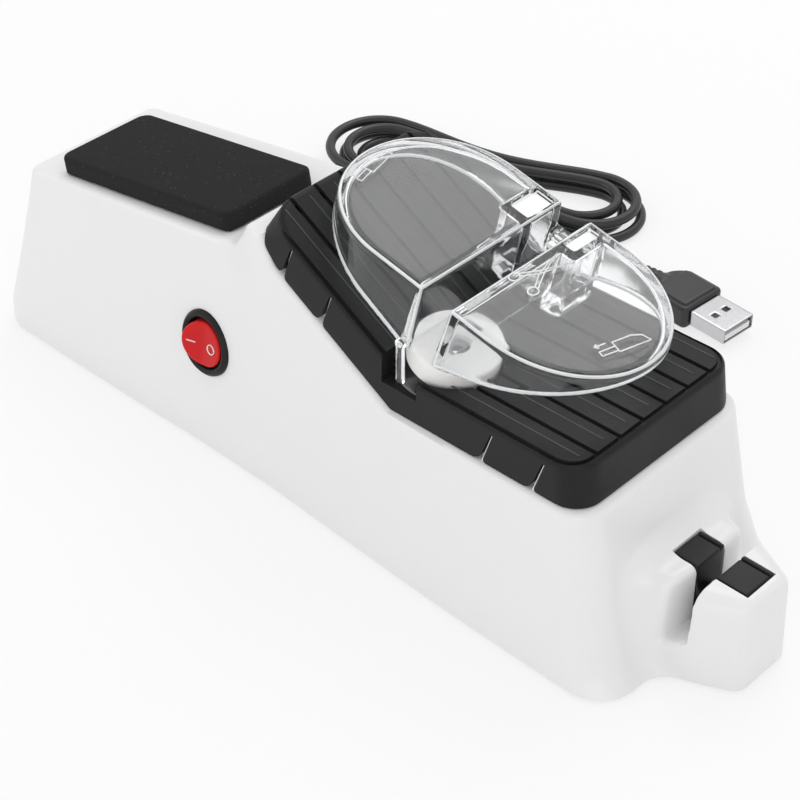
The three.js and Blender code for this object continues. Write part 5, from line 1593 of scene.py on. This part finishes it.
def pad_field(x, y, z):
    """A block with round corners, whose top is a little lower at its edges."""
    across = slab_field(y, -PAD_WIDE / 2, PAD_WIDE / 2)
    plan = round_meet(slab_field(x, 0, PAD_LONG), across, PAD_CORNER)
    full = 1 - np.maximum(np.abs(2 * x / PAD_LONG - 1), np.abs(2 * y / PAD_WIDE)) ** 2
    top = z - PAD_THICK + PAD_CROWN * 0.6 * (1 - np.clip(full, 0, 1))
    return np.maximum(round_meet(plan, top, 0.9), -z)


pad_axes = (spaced((-2, 0.9), (68, 1)), spaced((-17, 0.9), (17, 1)), spaced((-1.2, 0.45), (6.6, 1)))
pad = net_piece("hone_pad_block", pad_field, pad_axes, hone_black, PAD)
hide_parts("hone_pad")
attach(pad, "base")


# %% [markdown]
# The wheel is pressed white grit on a grey moulded hub, both turned shapes, so their profiles
# are spun about the drive's tilted axis. Small rounded edges catch the light.

# %% Wheel and hub
def eased_profile(corners, steps=5):
    """A closed profile whose corners are eased over their given reach."""
    spots = [np.array(corner, float) for corner, _ in corners]
    profile = []
    for i, (_, reach) in enumerate(corners):
        around = spots[i - 1], spots[i], spots[(i + 1) % len(spots)]
        profile += eased_corner(*around, reach, steps) if reach else [spots[i]]
    return profile


WHEEL_BORE, WHEEL_RADIUS, WHEEL_THICK = 3.5, 10.9, 6
wheel = lathed("grinding_wheel_disc", eased_profile([
    ((WHEEL_BORE, -WHEEL_THICK), 0.3), ((WHEEL_RADIUS, -WHEEL_THICK), 0.9),
    ((WHEEL_RADIUS, 0), 0.9), ((WHEEL_BORE, 0), 0.3),
]), wheel_white, 96, DRIVE)
hub = lathed("wheel_hub_moulding", eased_profile([
    ((1.3, -9), 0.1), ((5.2, -9), 0.4), ((5.2, -6.3), 0.3),
    ((3.2, -6.3), 0), ((3.2, -1.4), 0.35), ((1.3, -1.4), 0.2),
]), hub_grey, 64, DRIVE)
print("wheel faces", len(wheel.data.polygons), "hub faces", len(hub.data.polygons))
for piece, node, slot in ((wheel, "grinding_wheel", "wheel_white"), (hub, "wheel_hub", "hub_grey")):
    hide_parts(node)
    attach(piece, "drive")


# %% [markdown]
# The insert in the nose is black: two pads with a raised strip and a groove at their far edge,
# joined under the slot. It is a small field with softened edges.

# %% Nose insert
INSERT_Y, INSERT_FOOT, INSERT_TOP = (-4.9, 4.9), 8.4, 25.7
HEEL_LEG, TIP_LEG = (201.2, 207.9), (213.0, 221.3)
WEB_X, WEB_TOP = (201.5, 221.0), 10
PAD_GROOVE_Y, PAD_GROOVE_Z = (3.2, 3.8), (25.1, 30)
BLADE_ROOM = ((-6.8, 6.8), (-0.9, 0.9), (-2.1, 2.1))
BLADE_X, BLADE_Z, BLADE_TILT = 210.45, 13.4, math.radians(22)


def insert_leg(x, y, z, low, high):
    """One pad on its leg, with a groove before its far edge."""
    leg = block_field((x, y, z), ((low, high), INSERT_Y, (INSERT_FOOT, INSERT_TOP)), 0.35)
    groove = block_field((x, y, z), ((low - 2, high + 2), PAD_GROOVE_Y, PAD_GROOVE_Z), 0.1)
    return round_meet(leg, -groove, 0.12)


def insert_field(x, y, z):
    """Two legs joined at the foot, with a slit in it for each crossed blade."""
    legs = np.minimum(insert_leg(x, y, z, *HEEL_LEG), insert_leg(x, y, z, *TIP_LEG))
    web = block_field((x, y, z), (WEB_X, INSERT_Y, (INSERT_FOOT, WEB_TOP)), 0.2)
    whole = np.minimum(legs, web)
    for side in (-1, 1):
        tilt = side * BLADE_TILT
        along = (x - BLADE_X) * math.cos(tilt) - (z - BLADE_Z) * math.sin(tilt)
        above = (x - BLADE_X) * math.sin(tilt) + (z - BLADE_Z) * math.cos(tilt)
        slot = block_field((along, y - 2 * side, above), BLADE_ROOM, 0.1)
        whole = np.maximum(whole, -slot)
    return whole


insert_axes = (
    spaced((200.6, 0.4), (222, 1)), spaced((-5.4, 0.4), (5.4, 1)), spaced((7.9, 0.4), (26.3, 1))
)
insert = net_piece("nose_insert_block", insert_field, insert_axes, insert_black, rounds=1)
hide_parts("nose_insert")
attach(insert, "base")


# %% [markdown]
# A round rocker switch: a black bezel whose ring slopes in to a well, and a red rocker with two
# faces that meet in a shallow valley. On at the heel side, off at the nose side, and off is
# the side that is pressed in. The marks are the usual line and ring.

# %% Switch
bezel = lathed("switch_bezel_ring", eased_profile([
    ((0, -13), 0), ((7.3, -13), 0.4), ((7.3, -0.2), 0), ((8.65, -0.2), 0), ((8.65, 0.6), 0.3),
    ((7.7, 1.5), 0.3), ((6.75, 0.9), 0.3), ((6.7, -6.2), 0), ((0, -6.2), 0),
]), black_satin, 96, SWITCH)
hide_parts("switch_bezel")
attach(bezel, "base")
ROCKER_TILT = math.radians(11)
ROCKER = SWITCH @ Matrix.Rotation(ROCKER_TILT, 4, "Y")
ROCKER_RADIUS, ROCKER_LOW, ROCKER_RISE, ROCKER_SOFT = 6.1, 1.3, 1.3, 0.9
ROCKER_FOOT, ROCKER_FLARE, ROCKER_DEEP = 4.9, 1.2, 4.1


def rocker_top(x):
    """The height of the rocker's face: a shallow valley with a soft bottom."""
    climb = np.hypot(x, ROCKER_SOFT) - ROCKER_SOFT
    return ROCKER_LOW + ROCKER_RISE * climb / (np.hypot(ROCKER_RADIUS, ROCKER_SOFT) - ROCKER_SOFT)


def rocker_field(x, y, z):
    """A round cap on a narrower foot, under the two sloping faces."""
    skirt = np.hypot(x, y) - ROCKER_RADIUS
    foot = (np.abs(x) - ROCKER_FOOT - ROCKER_FLARE * (z + ROCKER_DEEP) / ROCKER_DEEP) * 0.96
    side = round_meet(skirt, foot, 0.3)
    return np.maximum(round_meet(side, (z - rocker_top(x)) * 0.97, 0.55), -ROCKER_DEEP - z)


rocker_plan = spaced((-6.9, 0.32), (6.9, 1))
rocker_axes = (rocker_plan, rocker_plan, spaced((-4.8, 0.32), (3.4, 1)))
rocker = net_piece("switch_rocker_cap", rocker_field, rocker_axes, rocker_red, ROCKER)
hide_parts("switch_rocker")
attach(rocker, "rocker")


def on_rocker(points):
    """Flat points laid on the rocker's face."""
    spots = np.asarray(points, float)
    return moved(np.column_stack([spots, rocker_top(spots[:, 0]) + 0.02]), ROCKER)


rocker_paths = [
    on_rocker([(x, 0) for x in np.linspace(-4.5, -2.1, 6)]),
    on_rocker(ring_points(2.9, 0, 1.25, 1.25, 28)),
]
rocker_marks = swept("rocker_marks", rocker_paths, 0.45, 0.45, 0.2, mark_and_highlight_white)
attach(rocker_marks, "rocker")


# %% [markdown]
# The plug's overmould has a raised flat face on each side, shoulders that narrow to the cord,
# and a tapered strain relief. Its shell is folded sheet with the usual square latch holes.

# %% Plug
PLUG = Matrix.Translation(PLUG_AT) @ Matrix.Rotation(PLUG_YAW, 4, "Z")
GRIP_HALF, GRIP_HIGH, GRIP_FACE = 7.8, 3.3, ((-12.6, -1.6), (-9, 6.3), (-4, 3.93))
NARROW_FROM, NARROW_LONG, NARROW_DEEP = 11.5, 5.5, 3.6
RELIEF_THIN, RELIEF_GROWTH, RELIEF_OVERLAP = 2.4, 0.9, 3
RIB_DEPTH, RIB_PITCH = 0.22, 2.0


def overmould_field(x, y, z):
    """The grip with its raised faces, and the ribbed strain relief behind it."""
    narrow = NARROW_DEEP * np.clip((-NARROW_FROM - x) / NARROW_LONG, 0, 1) ** 1.4
    body = round_meet(slab_field(x, -OVERMOULD_LONG, -GAP), np.abs(y) - GRIP_HALF + narrow, 1.6)
    body = round_meet(body, np.abs(z) - GRIP_HIGH + 0.3 * narrow, 1.0)
    face = block_field((x, np.abs(y), np.abs(z)), GRIP_FACE, 0.5)
    behind = x + OVERMOULD_LONG
    taper = RELIEF_THIN + RELIEF_GROWTH * np.clip(behind / RELIEF_LONG + 1, 0, 1)
    ribs = RIB_DEPTH * np.cos(behind * 2 * math.pi / RIB_PITCH) * (behind < 0)
    span = slab_field(behind, -RELIEF_LONG, RELIEF_OVERLAP)
    relief = round_meet(np.hypot(y, z) - taper + ribs, span, 0.5)
    return round_join(round_join(body, face, 0.4), relief, 0.8)


overmould_axes = (
    spaced((-25.6, 0.4), (0.6, 1)), spaced((-8.5, 0.45), (8.5, 1)), spaced((-4.6, 0.4), (4.6, 1))
)
overmould = net_piece("plug_overmould", overmould_field, overmould_axes, cord_black, PLUG)


SHELL_LONG, SHELL_HALF, SHELL_HIGH, SHEET = 12, 6, 2.25, 0.35
LATCH_HOLE = ((4.6, 6.6), (1.2, 3.2), (1.2, 4))


def shell_field(x, y, z):
    """A flat tube of sheet with two latch holes in each broad face."""
    side, face = np.abs(y) - SHELL_HALF, np.abs(z) - SHELL_HIGH
    outer = round_meet(slab_field(x, 0, SHELL_LONG), round_meet(side, face, 0.5), 0.12)
    inner = np.maximum(round_meet(side + SHEET, face + SHEET, 0.3), SHEET - x)
    hole = block_field((x, np.abs(y), np.abs(z)), LATCH_HOLE, 0.12)
    return np.maximum(np.maximum(outer, -inner), -hole)


shell_axes = (
    spaced((-0.6, 0.35), (12.6, 1)), spaced((-6.5, 0.35), (6.5, 1)), spaced((-2.8, 0.16), (2.8, 1))
)
shell = net_piece("plug_shell", shell_field, shell_axes, steel, PLUG, rounds=1)
for piece, node, slot in ((overmould, "usb_overmold", "cord_black"), (shell, "usb_shell", "steel")):
    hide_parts(node)
    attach(piece, "base")

tuple(metres(cord_exit))


# %% [markdown]
# Where the cord leaves the far wall, a rubber grommet grips it: a flange on each side of the
# wall, and rings outside that let it bend gently. It is a turned shape too.

# %% Cable grommet
grommet = lathed("cord_grommet", eased_profile([
    ((0, -4.7), 0), ((3.6, -4.7), 0.3), ((3.6, -3.0), 0), ((2.3, -3.0), 0), ((2.3, 0.3), 0),
    ((3.6, 0.3), 0.2), ((3.6, 2.0), 0.4), ((3.05, 2.2), 0), ((3.0, 3.6), 0.2), ((2.6, 3.8), 0),
    ((2.6, 4.5), 0), ((2.9, 4.7), 0.1), ((2.85, 6.2), 0.2), ((2.45, 6.4), 0), ((2.4, 7.1), 0),
    ((2.7, 7.3), 0.1), ((2.6, 8.8), 0.2), ((2.25, 9.0), 0), ((2.2, 9.7), 0), ((2.45, 9.9), 0.1),
    ((2.0, 14.0), 0.3), ((0, 14.0), 0),
]), rubber, 48, outlet_frame)
print("grommet faces", len(grommet.data.polygons))
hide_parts("cable_grommet")
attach(grommet, "base")


# %% [markdown]
# Soft studio light: a bright, even surround, one broad lamp above the far side that draws the
# highlights, and two weaker ones at the near right and the near left that fill the walls. The
# surround is full white where it is seen straight or through clear plastic, and the table is
# white to the eye too, but keeps the object's shadow.

# %% Light and table
def area_lamp(name, at, aim, size, power):
    """A rectangular lamp that looks at a point."""
    data = bpy.data.lights.new(name, "AREA")
    data.shape = "RECTANGLE"
    data.size, data.size_y = size
    data.energy = power
    made = add_object(name, data)
    made.location = at
    made.rotation_euler = (Vector(aim) - Vector(at)).to_track_quat("-Z", "Y").to_euler()
    return made


area_lamp("lamp_top", (-0.2, 0.55, 0.85), (0, 0, 0.03), (0.62, 0.55), 2.4)
area_lamp("lamp_front", (0.75, -0.7, 0.45), (0, 0, 0.03), (0.9, 0.6), 1.8)
area_lamp("lamp_left", (-0.7, -0.7, 0.4), (0, 0, 0.03), (0.6, 0.5), 1.3)

SURROUND_LEVEL = 0.82
world = bpy.data.worlds.new("surround")
scene.world = world
world.use_nodes = True
sky = world.node_tree
surround = sky.nodes["Background"]
set_inputs(surround, {"Color": (1, 1, 1, 1), "Strength": SURROUND_LEVEL})
white_view = sky.nodes.new("ShaderNodeBackground")
set_inputs(white_view, {"Color": (1, 1, 1, 1), "Strength": 1.0})
mixed(
    sky,
    seen_by(sky, "Is Camera Ray", "Is Transmission Ray"),
    surround.outputs["Background"],
    white_view.outputs["Background"],
    sky.nodes["World Output"].inputs["Surface"],
)
print("lamps", len(bpy.data.lights), "surround", SURROUND_LEVEL)


# %% Table
GLOW_SHARE = 0.72
TABLE_HALF = 3.0


def make_table_finish():
    """White to the eye, with the shadow kept at part strength."""
    finish, tree, shader = new_finish("table_white", (0.86, 0.86, 0.86), 0.9)
    glow = tree.nodes.new("ShaderNodeEmission")
    glow.inputs["Strength"].default_value = 1.0
    seen = seen_by(tree, "Is Camera Ray", "Is Glossy Ray", "Is Transmission Ray")
    share = math_node(tree, "MULTIPLY", seen, GLOW_SHARE)
    surface = tree.nodes["Material Output"].inputs["Surface"]
    mixed(tree, share, shader.outputs["BSDF"], glow.outputs["Emission"], surface)
    return finish


def make_table():
    """A flat sheet of floor under the object."""
    data = bpy.data.meshes.new("table_top")
    corners = [(x * TABLE_HALF, y * TABLE_HALF, 0) for x, y in ((-1, -1), (1, -1), (1, 1), (-1, 1))]
    data.from_pydata(corners, [], [(0, 1, 2, 3)])
    made = add_object("table_top", data)
    dress(made, make_table_finish())


make_table()
scene.view_settings.view_transform = "Standard"
print("table, m", 2 * TABLE_HALF)
